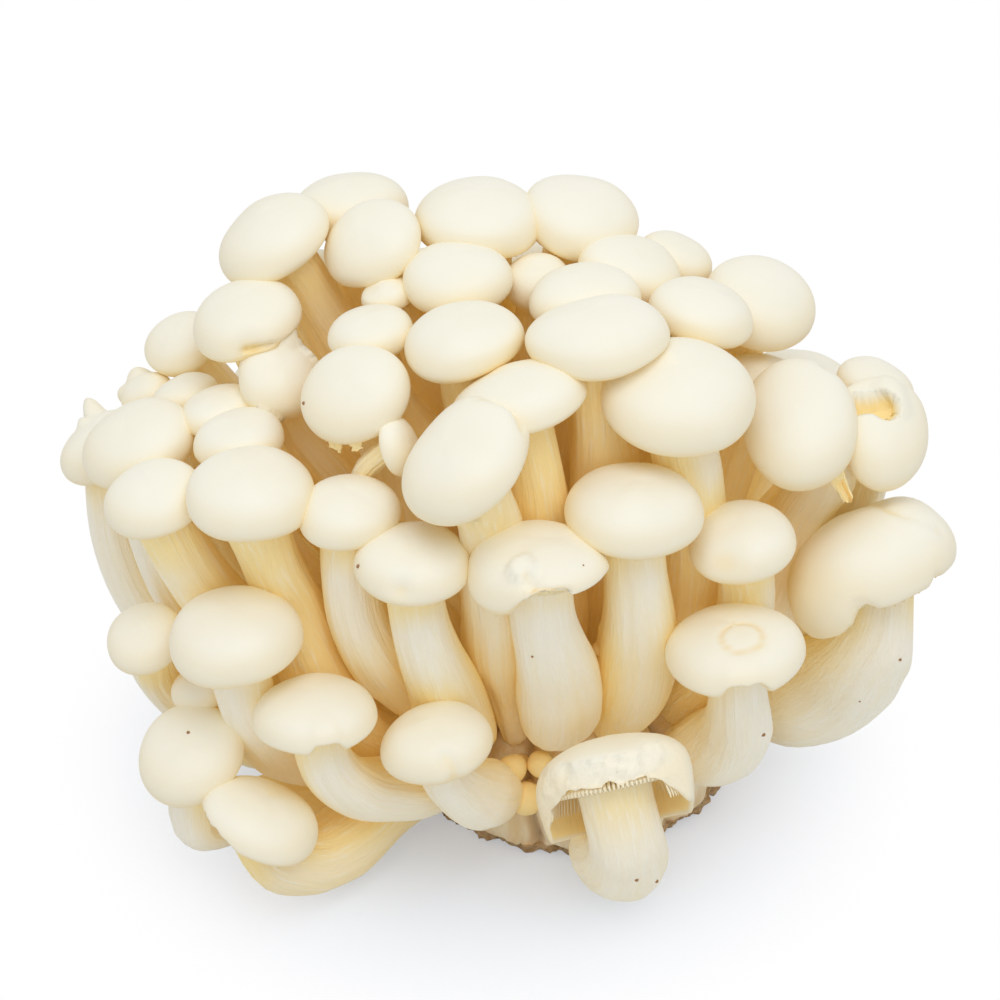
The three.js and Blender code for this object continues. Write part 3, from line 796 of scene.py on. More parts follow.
    # The marks of single mushrooms. A place on a cap is a heading, seen from above in degrees,
    # and a share of the way from the top (0) to the rim (1); sizes are in millimetres.

    def cap_row(self, share):
        """The row, with its fraction, at this share of the way to the rim."""
        return len(self.place) - 1 - share * (CAP_ROWS - 1)

    def column(self, heading):
        """The column nearest to the heading."""
        return int(np.argmin(np.abs(angle_between(self.headings, heading))))

    def spot(self, heading, share):
        """The point of the cap there; shares above 1 run on under the rim."""
        row = self.cap_row(share)
        low = min(max(int(row), 0), len(self.place) - 2)
        column = self.column(heading)
        first, second = self.place[low, column], self.place[low + 1, column]
        return first + (second - first) * (row - low)

    def stem_spot(self, heading, up):
        """The point of the stem there, from the root (0) to the neck (1)."""
        row = FOOT_ROWS + 1 + int(up * (STEM_ROWS - 1))
        return self.place[row, self.column(heading)]

    def near(self, centre, radius):
        """1 at the centre, falling smoothly to 0 at the radius."""
        return 1 - smoothstep(0, radius * MM, np.linalg.norm(self.place - centre, axis=2))

    def near_line(self, path, radius):
        """1 along the line through the places of the cap, 0 beyond the radius."""
        corners = np.array([self.spot(heading, share) for heading, share in path])
        line = curve(corners, LINE_POINTS)
        gaps = np.linalg.norm(self.place[:, :, None] - line, axis=3).min(2)
        return 1 - smoothstep(0, radius * MM, gaps)

    def sector(self, heading, half_width):
        """1 for the columns around the heading, falling smoothly to 0 beside them."""
        gaps = np.abs(angle_between(self.headings, heading)) / half_width
        return 1 - smoothstep(0.45, 1.0, gaps)

    def toward_rim(self, start):
        """0 from the top down to this share, 1 at the rim, and back to 0 on the way to the stem."""
        row = np.arange(len(self.place))
        share = (len(self.place) - 1 - row) / (CAP_ROWS - 1)
        return smoothstep(start, 1.0, share) * smoothstep(self.gill_start, self.cap_start - 2, row)

    def push(self, heading, share, radius, height):
        """A soft bump, or with a height below 0 a dent, with a little painted golden shade in the
        dent.
        """
        near = self.near(self.spot(heading, share), radius)
        self.place += grid_normals(self.place) * (near * height * MM)[..., None]
        self.masks["crevice"] += 0.45 * near * (height < 0)

    def nub(self, heading, share, radius, height):
        """A knob with a firm edge."""
        bump = smoothstep(0.1, 0.45, self.near(self.spot(heading, share), radius)) * height * MM
        self.place += grid_normals(self.place) * bump[..., None]

    def crease(self, path, radius, depth, torn=0.0):
        """A groove along a line, rough where it is torn, with painted golden shade in the groove,
        less where it is torn.
        """
        groove = self.near_line(path, radius)
        rough = 1 + 0.8 * torn * lumps(self.place, 1.2)
        self.place -= grid_normals(self.place) * (groove * rough * depth * MM)[..., None]
        self.masks["torn"] = np.maximum(self.masks["torn"], torn * groove)
        self.masks["crevice"] += (0.5 - 0.3 * torn) * groove

    def hollow(self, path, radius, depth):
        """A deep pocket along a line with a firm edge, painted inside with shade in the gill colour
        and golden shade.
        """
        near = self.near_line(path, radius)
        inside = smoothstep(0.12, 0.5, near)
        self.place -= grid_normals(self.place) * (inside * depth * MM)[..., None]
        for mask in ("gill", "crevice"):
            self.masks[mask] = np.maximum(self.masks[mask], inside)

    def ridge(self, path, radius, height):
        """A rolled edge that swells up along a line, most at its start."""
        along = self.near_line(path, radius)
        start = self.near(self.spot(*path[0]), 4 * radius)
        swell = along ** 0.6 * (0.45 + 0.55 * start) * height * MM
        self.place += grid_normals(self.place) * swell[..., None]

    def scar(self, heading, share, radius, depth):
        """A round scar: a sunken plate with a groove around it, painted with the darker rim shade."""
        away = np.linalg.norm(self.place - self.spot(heading, share), axis=2) / (radius * MM)
        groove = np.exp(-((away - 1) * radius / 0.4) ** 2)
        sunk = (0.4 * (1 - smoothstep(0.8, 1.0, away)) + groove) * depth * MM
        self.place -= grid_normals(self.place) * sunk[..., None]
        self.masks["under"] = np.maximum(self.masks["under"], 0.8 * groove)

    def droop(self, heading, half_width, drop):
        """The rim hangs lower here, or with a drop below 0 arches up."""
        share = self.toward_rim(0.25)[:, None] * self.sector(heading, half_width)
        self.place -= self.axis * (share * drop * MM)[..., None]

    def tear(self, heading, half_width, bite, tuck=0.0):
        """The rim is torn away in shreds, and tucked in towards the stem."""
        sector = self.toward_rim(0.6)[:, None] * self.sector(heading, half_width)
        shreds = sector * (1 + 0.6 * lumps(self.place, 1.6) + 0.35 * lumps(self.place, 0.7))
        inward = self.middle - self.place
        inward = unit(inward - (inward @ self.axis)[..., None] * self.axis)
        self.place += self.axis * (shreds * bite * MM)[..., None]
        self.place += inward * (shreds * tuck * MM)[..., None]
        self.masks["torn"] = np.maximum(self.masks["torn"], sector ** 0.5)

    def broken(self, heading, half_width, reach, level):
        """The edge is broken away out to this reach, in cap radii, down to a ragged face."""
        sector = self.sector(heading, half_width) ** 0.5
        out = self.place - self.middle
        high = out @ self.axis
        across = out - high[..., None] * self.axis
        far = np.linalg.norm(across, axis=2)
        limit, floor = reach * self.size, level * self.size
        edge = self.middle + unit(across) * np.minimum(far, limit)[..., None] + floor * self.axis
        ragged = 0.8 * lumps(edge, 1.9) + 0.4 * lumps(edge, 0.8) + lumps(edge, 3.0)
        below = np.maximum(floor + ragged * MM - high, 0) * 0.95 * sector
        below[:self.gill_start] = 0
        wall = self.middle + unit(across) * limit + (high + below)[..., None] * self.axis
        ragged = 1.0 * lumps(wall, 1.9) + 0.5 * lumps(wall, 0.8)
        beyond = np.maximum(far - limit - ragged * MM, 0) * 0.95 * sector
        beyond[:self.gill_start] = 0
        self.place -= unit(across) * beyond[..., None]
        self.place += self.axis * below[..., None]
        self.masks["torn"] = np.maximum(self.masks["torn"], smoothstep(0, 0.6 * MM, beyond + below))

    def dot(self, heading, share, radius):
        """A brown speck on the cap."""
        SPECKS.append((self.spot(heading, share), radius * MM))

    def stem_dot(self, heading, up, radius):
        """A brown speck on the stem."""
        SPECKS.append((self.stem_spot(heading, up), radius * MM))

    def scrap(self, heading, share, length, width, fall):
        """A torn sheet that hangs on here: it falls from straight out (0) to straight down (90)."""
        spot = self.spot(heading, share)
        outward = unit(spot - self.middle)
        outward = unit(outward - self.axis * (outward @ self.axis))
        angle = math.radians(fall)
        way = math.cos(angle) * outward - math.sin(angle) * self.axis
        SCRAPS.append((spot, way, np.cross(self.axis, outward), length * MM, width * MM))

    def melt(self, other, reach):
        """Flows over into another mushroom: swells where it comes close to it."""
        tree = GROWN[other]
        swell = np.zeros(self.place.shape[:2])
        normals = grid_normals(self.place)
        for index in np.ndindex(swell.shape):
            nearest, outward, _, distance = tree.find_nearest(Vector(self.place[index]))
            inside = (Vector(self.place[index]) - nearest).dot(outward) < 0
            gap = 0.0 if inside else min(distance / (reach * MM), 1.0)
            swell[index] = (1 - gap) ** 2 * reach * MM / 4
        self.place += normals * swell[..., None]

    def build(self, shape):
        """Roughens and marks the surface, and makes the piece."""
        self.roughen()
        for mark, *numbers in shape.get("marks", ()):
            getattr(self, mark)(*numbers)
        if self.kind == "cap":
            self.ripple_gills()
        elif self.kind == "open":
            self.hang_gills()
        name = short_name(self.node)
        GROWN[name] = self.tree()
        finished(name, self.place, self.masks, self.node)

    def tree(self):
        """The finished surface as a tree of faces."""
        rows, columns = self.place.shape[:2]
        corners = [Vector(place) for place in self.place.reshape(-1, 3)]
        faces = [
            (row * columns + column, row * columns + (column + 1) % columns,
             (row + 1) * columns + (column + 1) % columns, (row + 1) * columns + column)
            for row in range(rows - 1) for column in range(columns)
        ]
        tree = BVHTree.FromPolygons(corners, faces)
        middle = Vector(self.place[STEM_ROWS // 2].mean(0))
        place = Vector(self.place[STEM_ROWS // 2, 0])
        normal = tree.find_nearest(place)[1]
        if normal.dot(place - middle) < 0:
            tree = BVHTree.FromPolygons(corners, [face[::-1] for face in faces])
        return tree


# ---------------------------------------------------------------------------------------------
# Materials


class Wire:
    """A socket's value that can be written in a sum, which adds its Math nodes."""

    def __init__(self, tree, socket):
        self.tree = tree
        self.socket = socket

    def math(self, operation, first, second):
        return add_node(self.tree, "ShaderNodeMath", {"operation": operation},
                        {0: first, 1: second})

    def __add__(self, other):
        return self.math("ADD", self, other)

    def __sub__(self, other):
        return self.math("SUBTRACT", self, other)

    def __rsub__(self, other):
        return self.math("SUBTRACT", other, self)

    def __mul__(self, other):
        return self.math("MULTIPLY", self, other)

    __radd__ = __add__
    __rmul__ = __mul__


def add_node(tree, kind, settings=None, inputs=None, output=0):
    """Adds a node: its settings first, then the values or wires of its sockets."""
    node = tree.nodes.new(kind)
    for key, value in (settings or {}).items():
        setattr(node, key, value)
    for key, value in (inputs or {}).items():
        if isinstance(value, Wire):
            tree.links.new(value.socket, node.inputs[key])
        else:
            node.inputs[key].default_value = value
    return Wire(tree, node.outputs[output]) if node.outputs else None


def attribute(tree, name, output="Fac"):
    """A mask of the piece's own mesh."""
    return add_node(tree, "ShaderNodeAttribute", {"attribute_name": name}, output=output)


# The Mix node's sockets for colours, by number, because several of its sockets share a name.
COLOUR_A, COLOUR_B, COLOUR_OUT = 6, 7, 2


def blend_colours(tree, share, first, second, kind="MIX"):
    """A colour that goes from the first to the second, or to their product, with the share."""
    mix = {"data_type": "RGBA", "blend_type": kind}
    colours = {
        COLOUR_A: first if isinstance(first, Wire) else (*first, 1),
        COLOUR_B: second if isinstance(second, Wire) else (*second, 1),
    }
    return add_node(tree, "ShaderNodeMix", mix, {0: share, **colours}, output=COLOUR_OUT)


def noise_value(tree, where, scale, detail=2.0, roughness=0.5, stretch=None):
    """Noise around 0.5, in lumps that the stretch makes long."""
    if stretch is not None:
        where = add_node(tree, "ShaderNodeMapping", {}, {"Vector": where, "Scale": stretch})
    return add_node(tree, "ShaderNodeTexNoise", {},
                    {"Vector": where, "Scale": scale, "Detail": detail, "Roughness": roughness})


def limits(tree, value, low, high):
    """0 below the low value, 1 above the high one, and smooth between."""
    return add_node(tree, "ShaderNodeMapRange", {"interpolation_type": "SMOOTHSTEP"},
                    {"Value": value, "From Min": low, "From Max": high})


def new_material(name):
    """An empty material and its node tree."""
    material = bpy.data.materials.new(name)
    material.cycles.emission_sampling = "NONE"
    material.use_nodes = True
    material.node_tree.nodes.clear()
    return material, material.node_tree


def finish_material(tree, inputs):
    """The surface itself, with what feeds it."""
    shader = add_node(tree, "ShaderNodeBsdfPrincipled", {}, inputs)
    add_node(tree, "ShaderNodeOutputMaterial", {}, {"Surface": shader})


def flesh_material():
    """White mushroom flesh: satin skin on the cap, long fibres on the stem, with painted golden shade
    where it is deep, painted shade on the caps' sides and undersides and on the upper stems, and a
    faint painted glow where it is closed in.
    """
    ready = bpy.data.materials.get("mushroom_flesh")
    if ready:
        return ready
    colours = bpy.context.scene.shimeji_colours
    material, tree = new_material("mushroom_flesh")
    where = add_node(tree, "ShaderNodeTexCoord", output="Object")
    grain = attribute(tree, "grain", "Vector")
    cap = attribute(tree, "cap")
    gill = attribute(tree, "gill")
    up = attribute(tree, "up")
    crevice = attribute(tree, "crevice")
    torn = attribute(tree, "torn")
    under = attribute(tree, "under")
    shade = limits(tree, attribute(tree, "shade"), 0.1, 0.85)

    clouds = noise_value(tree, where, 90.0, 3.0, 0.55)
    pores = noise_value(tree, where, 1500.0, 3.0, 0.6)
    fibres = noise_value(tree, grain, 1.0, 4.0, 0.6, (1700, 1700, 110))
    strands = noise_value(tree, grain, 1.0, 3.0, 0.5, (520, 520, 28))

    skin = blend_colours(tree, limits(tree, clouds, 0.35, 0.7), colours.skin, colours.skin_warm)
    stem = blend_colours(tree, limits(tree, strands, 0.3, 0.75), colours.stem, colours.stem_warm)
    # Painted shade: the upper stem turns greyer towards the cap above it.
    shade_below_cap = limits(tree, up, 0.55, 1.0) * 0.5
    stem = blend_colours(tree, shade_below_cap, stem, colours.neck)
    flesh = blend_colours(tree, cap, stem, skin)
    flesh = blend_colours(tree, gill * 0.7, flesh, colours.gill)
    flesh = blend_colours(tree, torn * 0.8, flesh, colours.torn)
    # Painted shade: golden where the flesh lies deep between its neighbours or faces the ground.
    deep = limits(tree, crevice, 0.12, 0.85) * 0.88
    flesh = blend_colours(tree, deep, flesh, colours.deep)
    # Painted shade: the sides and undersides of the caps, and some stems, take the darker rim tint.
    flesh = blend_colours(tree, under, flesh, colours.rim, "MULTIPLY")
    bare = (1 - cap) * (1 - gill)
    flesh = blend_colours(tree, limits(tree, fibres, 0.50, 0.72) * bare * 0.4, flesh, colours.fibre)
    # Painted light: a faint glow where the flesh is closed in, standing in for light that passes
    # through it.
    glow = blend_colours(tree, shade, (0, 0, 0), colours.glow)

    height = fibres * (1 - cap) * 1.6 + strands * (1 - cap) * 0.8 + pores * (0.12 + torn * 0.8)
    relief = add_node(tree, "ShaderNodeBump", {},
                      {"Height": height, "Strength": 0.6, "Distance": 0.3 * MM})
    finish_material(tree, {
        "Base Color": flesh,
        "Roughness": 0.62 - cap * 0.14 + pores * 0.08,
        "Normal": relief,
        "Specular IOR Level": 0.35,
        "Emission Color": glow,
        "Emission Strength": 1.0,
    })
    return material


def base_material():
    """The fused roots: beige and folded above, brown at the cut, with painted shade for its pits as
    near-black spots.
    """
    colours = bpy.context.scene.shimeji_colours
    material, tree = new_material("cut_base")
    where = add_node(tree, "ShaderNodeTexCoord", output="Object")
    cut = attribute(tree, "cut")
    groove = attribute(tree, "groove")
    broad = noise_value(tree, where, 160.0, 4.0, 0.6)
    fine = noise_value(tree, where, 900.0, 5.0, 0.65)
    folds = noise_value(tree, where, 1.0, 4.0, 0.6, (420, 420, 50))
    beige = blend_colours(tree, limits(tree, folds, 0.35, 0.7), colours.butt, colours.butt_pale)
    beige = blend_colours(tree, groove * 0.85, beige, colours.bark_pale)
    brown = blend_colours(tree, limits(tree, fine, 0.38, 0.62), colours.bark, colours.bark_pale)
    edge = limits(tree, cut + broad * 0.5 - 0.25, 0.3, 0.7)
    shade = blend_colours(tree, edge, beige, brown)
    # Painted shade: the pits at the cut are near-black spots of colour where the fine noise is high.
    pits = limits(tree, fine, 0.60, 0.70) * edge
    shade = blend_colours(tree, pits * 0.85, shade, colours.pit_shade)
    relief = add_node(tree, "ShaderNodeBump", {}, {
        "Height": folds * 0.6 + fine * (0.3 + cut), "Strength": 0.6, "Distance": 0.6 * MM})
    finish_material(tree, {
        "Base Color": shade,
        "Roughness": 0.7 + fine * 0.2,
        "Normal": relief,
        "Subsurface Weight": 0.4,
        "Subsurface Radius": (1.0, 0.6, 0.3),
        "Subsurface Scale": 1.2 * MM,
        "Specular IOR Level": 0.3,
    })
    return material


def speck_material():
    """Dry brown crumbs."""
    material, tree = new_material("speck")
    finish_material(tree, {
        "Base Color": (*bpy.context.scene.shimeji_colours.speck, 1),
        "Roughness": 0.8,
    })
    return material


# ---------------------------------------------------------------------------------------------
# Settings


def shade_property(name, description, default):
    """A colour that a user may change."""
    return bpy.props.FloatVectorProperty(
        name=name, description=description, subtype="COLOR", size=3,
        min=0.0, max=1.0, default=default,
    )


class ShimejiColours(bpy.types.PropertyGroup):
    """Colours of the flesh and of the base, with the painted shade and glow of the flesh."""

    skin: shade_property("Skin", "Lit skin of a cap", (0.94, 0.915, 0.795))
    skin_warm: shade_property("Warm skin", "Creamier clouds in the skin", (0.935, 0.90, 0.76))
    stem: shade_property("Stem", "Flesh of a stem", (0.99, 0.945, 0.805))
    stem_warm: shade_property("Warm stem", "Creamier strands of a stem", (0.98, 0.91, 0.71))
    fibre: shade_property("Fibre", "Pale fibres on a stem", (1.0, 0.975, 0.90))
    # Painted shade: a darker, warmer tint multiplied onto the sides and undersides of caps, into scar
    # grooves, onto pinheads and onto the stems of some mushrooms.
    rim: shade_property("Rim", "Tint of the sides and the underside of a cap", (0.98, 0.85, 0.62))
    # Painted shade: the greyer flesh just below a cap.
    neck: shade_property("Neck", "Greyer flesh below a cap", (0.91, 0.84, 0.69))
    # The gill colour also paints the shade inside the pockets that a hollow makes.
    gill: shade_property("Gill", "Plates under a cap", (0.88, 0.80, 0.62))
    torn: shade_property("Torn flesh", "Where the flesh is torn", (0.99, 0.94, 0.78))
    # Painted shade: the golden colour of flesh deep between the stems.
    deep: shade_property("Deep flesh", "Flesh deep between stems", (0.98, 0.79, 0.36))
    # Painted light: the faint glow of the flesh where it is closed in.
    glow: shade_property("Glow", "Light that seeps deep into the flesh", (0.026, 0.019, 0.006))
    butt: shade_property("Base", "Fused roots", (0.78, 0.61, 0.37))
    butt_pale: shade_property("Pale base", "Crests of the folds", (0.89, 0.78, 0.58))
    bark: shade_property("Cut edge", "Brown skin at the cut", (0.40, 0.25, 0.12))
    bark_pale: shade_property("Pale cut edge", "Dry crumbs at the cut", (0.55, 0.39, 0.22))
    # Painted shade: the colour of the pits at the cut.
    pit_shade: shade_property("Pit", "Dark pits at the cut", (0.10, 0.06, 0.035))
    speck: shade_property("Speck", "Brown specks on the flesh", (0.36, 0.19, 0.08))


class ShimejiSizes(bpy.types.PropertyGroup):
    """Sizes of the finer shapes on the flesh and on the base."""

    furrow: bpy.props.FloatProperty(
        name="Furrows", description="Depth of the faint furrows down a stem",
        default=0.35 * MM, min=0.0, soft_max=2 * MM, subtype="DISTANCE", unit="LENGTH")
    plates: bpy.props.IntProperty(
        name="Plates", description="How many plates hang under the open cap",
        default=84, min=12, max=200)
    roots: bpy.props.IntProperty(
        name="Roots", description="How many fused roots fold the side of the base",
        default=21, min=5, max=60)
    crust: bpy.props.FloatProperty(
        name="Crust", description="Height of the brown crust at the cut",
        default=2.6 * MM, min=0.5 * MM, soft_max=8 * MM, subtype="DISTANCE", unit="LENGTH")


class ShimejiLight(bpy.types.PropertyGroup):
    """The studio: an even sky and one broad lamp above."""

    sky: bpy.props.FloatProperty(
        name="Sky", description="Strength of the even light from all around",
        default=0.74, min=0.0, soft_max=2.0)
    lamp: bpy.props.FloatProperty(
        name="Lamp", description="Power of the broad lamp above", default=1.8,
        min=0.0, soft_max=50.0, subtype="POWER", unit="POWER")


# ---------------------------------------------------------------------------------------------
# Operators


def grow(group):
    """All the mushrooms of one group of the frame."""
    for node in sorted(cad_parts):
        if node.startswith(group + "_mushroom"):
            shape = CAPS.get(short_name(node), {})
            Mushroom(node, shape).build(shape)


class SHIMEJI_OT_crown(bpy.types.Operator):
    """Grow the mushrooms at the top of the bunch"""

    bl_idname = "shimeji.crown"
    bl_label = "Crown"

    def execute(self, context):
        grow("crown")
        return {"FINISHED"}


class SHIMEJI_OT_left(bpy.types.Operator):
    """Grow the mushrooms on the left side"""

    bl_idname = "shimeji.left"
    bl_label = "Left side"

    def execute(self, context):
        grow("left")
        return {"FINISHED"}


class SHIMEJI_OT_front(bpy.types.Operator):
    """Grow the mushrooms at the front"""

    bl_idname = "shimeji.front"
    bl_label = "Front"

    def execute(self, context):
        grow("front")
        return {"FINISHED"}


class SHIMEJI_OT_right(bpy.types.Operator):
    """Grow the mushrooms on the right side"""

    bl_idname = "shimeji.right"
    bl_label = "Right side"

    def execute(self, context):
        grow("right")
        return {"FINISHED"}


class SHIMEJI_OT_skirt(bpy.types.Operator):
    """Grow the mushrooms that hang out low around the base"""

    bl_idname = "shimeji.skirt"
    bl_label = "Skirt"

    def execute(self, context):
        grow("skirt")
        return {"FINISHED"}


class SHIMEJI_OT_back(bpy.types.Operator):
    """Grow the mushrooms at the back"""

    bl_idname = "shimeji.back"
    bl_label = "Back"

    def execute(self, context):
        grow("back")
        return {"FINISHED"}


# The base: a knob of fused roots. Its grid runs from the middle of the cut face out over the edge
# and up the side to the top of the dome. The edge of the cut is a share of the radius, the
# shoulder a share of the height, and a crease's width is in millimetres.
BASE_RADIUS = (BASE_HIGH - BASE_LOW).x / 2
BASE_HEIGHT = (BASE_HIGH - BASE_LOW).z
BASE_COLUMNS = 360
CUT_ROWS = 30
SIDE_ROWS = 100
CUT_EDGE = 0.94
SHOULDER = 0.4
CREASE_WIDTH = 0.75


def base_grid():
    """The knob's places and masks."""
    sizes = bpy.context.scene.shimeji_sizes
    random = np.random.default_rng(41)
    out = np.concatenate([
        np.linspace(0, CUT_EDGE, CUT_ROWS, endpoint=False),
        1 - (1 - CUT_EDGE) * (1 - np.linspace(0, 1, SIDE_ROWS)) ** 8,
    ])
    climb = np.linspace(0, 1, SIDE_ROWS)
    angle = np.clip((climb - SHOULDER) / (1 - SHOULDER), 0, 1) * math.pi / 2
    out[CUT_ROWS:] *= np.cos(angle)
    high = np.zeros(CUT_ROWS + SIDE_ROWS)
    side = np.where(climb < SHOULDER, climb, SHOULDER + (1 - SHOULDER) * np.sin(angle))
    high[CUT_ROWS:] = side * BASE_HEIGHT
    out[[0, -1]] = 0

    turn = np.arange(BASE_COLUMNS) / BASE_COLUMNS * math.tau
    spokes = np.stack([np.cos(turn), np.sin(turn), np.zeros(BASE_COLUMNS)], 1)
    foot = np.array((BASE_CENTRE.x, BASE_CENTRE.y, BASE_LOW.z))
    plain = foot + out[:, None, None] * BASE_RADIUS * spokes
    plain[..., 2] += high[:, None]

    # Fused roots: swollen between dark creases that wander a little on their way up.
    gaps = np.full(plain.shape[:2], math.tau)
    for root in range(sizes.roots):
        at = (root + random.uniform(-0.32, 0.32)) / sizes.roots * math.tau
        wander = at + random.uniform(-0.012, 0.012) * high / MM
        gaps = np.minimum(gaps, np.abs((turn - wander[:, None] + math.pi) % math.tau - math.pi))
    gaps = gaps * BASE_RADIUS / MM
    creases = np.exp(-(gaps / CREASE_WIDTH) ** 2)
    swell = 0.9 * smoothstep(0, 4, gaps) - 1.5 * creases
    wrinkled = plain * (1, 1, 0.16)
    swell += 0.35 * lumps(wrinkled, 1.3) + 0.5 * lumps(wrinkled, 3.1)

    # The crust at the cut: brown, crumbly, and broken off unevenly.
    uneven = lumps(plain * (1, 1, 0), 5.0)
    crust = 1 - smoothstep(0.45, 1.0, (high[:, None] + uneven * MM) / sizes.crust)
    crumbs = 0.7 * lumps(plain, 0.9) + 0.9 * lumps(plain, 2.3)
    bitten = np.abs(lumps(plain * (1, 1, 0), 7.5)) * 2.0 + np.abs(lumps(plain * (1, 1, 0), 2.6))
    edge = smoothstep(CUT_EDGE - 0.2, CUT_EDGE, out[:, None]) * crust
    inward = swell * (1 - crust) + edge * (1.3 + crumbs - bitten)
    reach = smoothstep(0.3, 0.8, out)[:, None]
    grid = plain + spokes * (inward * reach * MM)[..., None]
    face = (np.arange(len(out)) < CUT_ROWS)[:, None]
    ragged = np.maximum(lumps(plain, 1.7) + 0.6 * lumps(plain, 0.8), 0) * 1.3 * MM
    grid[..., 2] += ragged * np.where(face, smoothstep(0.0, 0.1, out)[:, None], edge)
    return grid, {"cut": np.maximum(crust, face), "groove": creases * (1 - crust)}


class SHIMEJI_OT_base(bpy.types.Operator):
    """Shape the knob of fused roots and its cut"""

    bl_idname = "shimeji.base"
    bl_label = "Base"

    def execute(self, context):
        grid, masks = base_grid()
        finished("base_knob", grid, masks, "base", slot=BASE_SLOT, material=base_material())
        return {"FINISHED"}


# Pinheads, the youngest mushrooms: each one's middle, from the middle of the cut, and its radius,
# in millimetres. Those deep between the stems are tiny.
PINHEADS = (
    (-8.0, -24.0, 16.2, 2.1), (-4.0, -23.4, 16.4, 2.0), (-6.1, -25.4, 11.6, 2.5),
    (5.2, -19.5, 38.5, 1.1), (4.2, -19.5, 34.8, 1.0), (4.3, -19.8, 32.2, 1.1),
    (24.0, 10.5, 10.0, 2.2), (25.6, 6.0, 7.0, 1.7), (-25.0, 12.0, 9.0, 2.0), (5.0, 26.5, 8.5, 2.2),
    (0.5, 27.0, 6.5, 1.8), (-12.0, 24.5, 7.0, 1.6),
)
PIN_OUTLINE = (
    (0.0, -2.6), (0.55, -2.5), (0.66, -1.9), (0.62, -1.2), (0.68, -0.72), (0.92, -0.42), (1.0, 0.0),
    (0.87, 0.5), (0.5, 0.86), (0.0, 1.0),
)

# A torn sheet: its quads along and across, its thickness, and the angle from which it is creased.
SCRAP_LONG, SCRAP_WIDE = 7, 6
SCRAP_THICK = 0.4 * MM
SCRAP_CREASE = math.radians(40)


class SHIMEJI_OT_details(bpy.types.Operator):
    """Add the pinheads, the torn sheets and the brown specks"""

    bl_idname = "shimeji.details"
    bl_label = "Details"

    def execute(self, context):
        for number, (x, y, z, radius) in enumerate(PINHEADS, 1):
            self.add_pinhead(f"pinhead_{number:02d}", np.array((x, y, z)) * MM, radius)
        self.add_scraps()
        self.add_specks()
        return {"FINISHED"}

    def add_pinhead(self, name, centre, radius):
        away = centre - np.array((0, 0, 5 * MM))
        axis = unit(away * (1, 1, 1.2))
        grid = turned_grid(np.array(PIN_OUTLINE) * radius, centre, axis)
        grid += grid_normals(grid) * (0.08 * radius * lumps(grid, radius) * MM)[..., None]
        head = smoothstep(0.45, 0.6, np.linspace(0, 1, ROWS))
        # The pinheads are painted with golden shade and the darker rim shade.
        masks = even_masks(grid, cap=head, gill=0, up=0.5, crevice=0.8, under=0.4, torn=0)
        finished(name, grid, masks)

    def add_scraps(self):
        shape = bmesh.new()
        for number, scrap in enumerate(SCRAPS):
            sheet = bmesh.ops.create_grid(
                shape, x_segments=SCRAP_LONG, y_segments=SCRAP_WIDE, size=1)["verts"]
            for vertex in sheet:
                vertex.co = self.scrap_place(number, *scrap, vertex.co.x, vertex.co.y)
        shape.normal_update()
        bmesh.ops.recalc_face_normals(shape, faces=shape.faces)
        bmesh.ops.solidify(shape, geom=shape.faces[:], thickness=SCRAP_THICK)
        bmesh.ops.recalc_face_normals(shape, faces=shape.faces)
        # The torn sheets are painted with golden shade and a faint painted glow.
        mesh = mesh_from("torn_veil", shape, torn=0.9, crevice=0.7, shade=0.6)
        mesh.shade_smooth()
        mesh.set_sharp_from_angle(angle=SCRAP_CREASE)
        declared("torn_veil", mesh)

    def scrap_place(self, number, spot, way, beside, length, width, x, y):
        """A point of a torn sheet, which starts a little inside the cap: x runs from its root to
        its end and y from side to side, each from -1 to 1."""
        u, v = 0.375 + 0.625 * x, 0.5 * y
        across = np.cross(way, beside)
        end = 1 + 0.45 * noise.noise(Vector((number * 3.1, v * 5.0, 0.5)))
        taper = 1 - 0.3 * u + 0.3 * noise.noise(Vector((number * 7.7, u * 3.0, 2.5)))
        bend = 0.35 * u * u + 0.25 * noise.noise(Vector((number * 5.3, v * 3.0, u * 2.0)))
        return spot + way * length * u * end + beside * width * v * taper + across * length * bend

    def add_specks(self):
        shape = bmesh.new()
        for spot, radius in SPECKS:
            ball = bmesh.ops.create_icosphere(shape, subdivisions=2, radius=radius)["verts"]
            bmesh.ops.translate(shape, verts=ball, vec=Vector(spot))
            for vertex in ball:
                uneven = noise.noise(vertex.co / (0.5 * MM)) * 0.35
                vertex.co += (vertex.co - Vector(spot)) * uneven
        mesh = mesh_from("specks", shape)
        mesh.shade_smooth()
        declared("specks", mesh, slot=BASE_SLOT, material=speck_material())


# The camera stands in front of the bunch and looks down on it, by an angle above level.
CAMERA_TARGET = Vector((-9.9, 0.0, 46.9)) * MM
CAMERA_DISTANCE = 700 * MM
CAMERA_LENS = 173.4
CAMERA_RISE = math.asin(0.6)

# The lamp hangs above and in front, and the light passes on between pale stems many times.
LAMP_PLACE = Vector((0.03, -0.28, 0.80))
LAMP_WIDTH = 0.6
BOUNCES = 8

# The floor's paint, as the flesh and as the camera see it, and its own glow, which the camera
# alone sees: a painted light that around the shifted middle leaves the shadow under the bunch,
# and between the near and the far distance turns from its first share to pure white. The
# camera's paint and the glow near the bunch are a little bluer, a painted cool tint on that shadow.
FLOOR_RADIUS = 3.0
FLOOR_NEAR = 0.026
FLOOR_FAR = 0.068
FLOOR_WHITE = 0.36
SHADE_SHIFT = (0.012, 0, 0)
PAINT = (0.82, 0.85, 0.89)
PAINT_SEEN = (0.77, 0.84, 0.97)
GLOW_NEAR = (0.97, 0.985, 1.02)


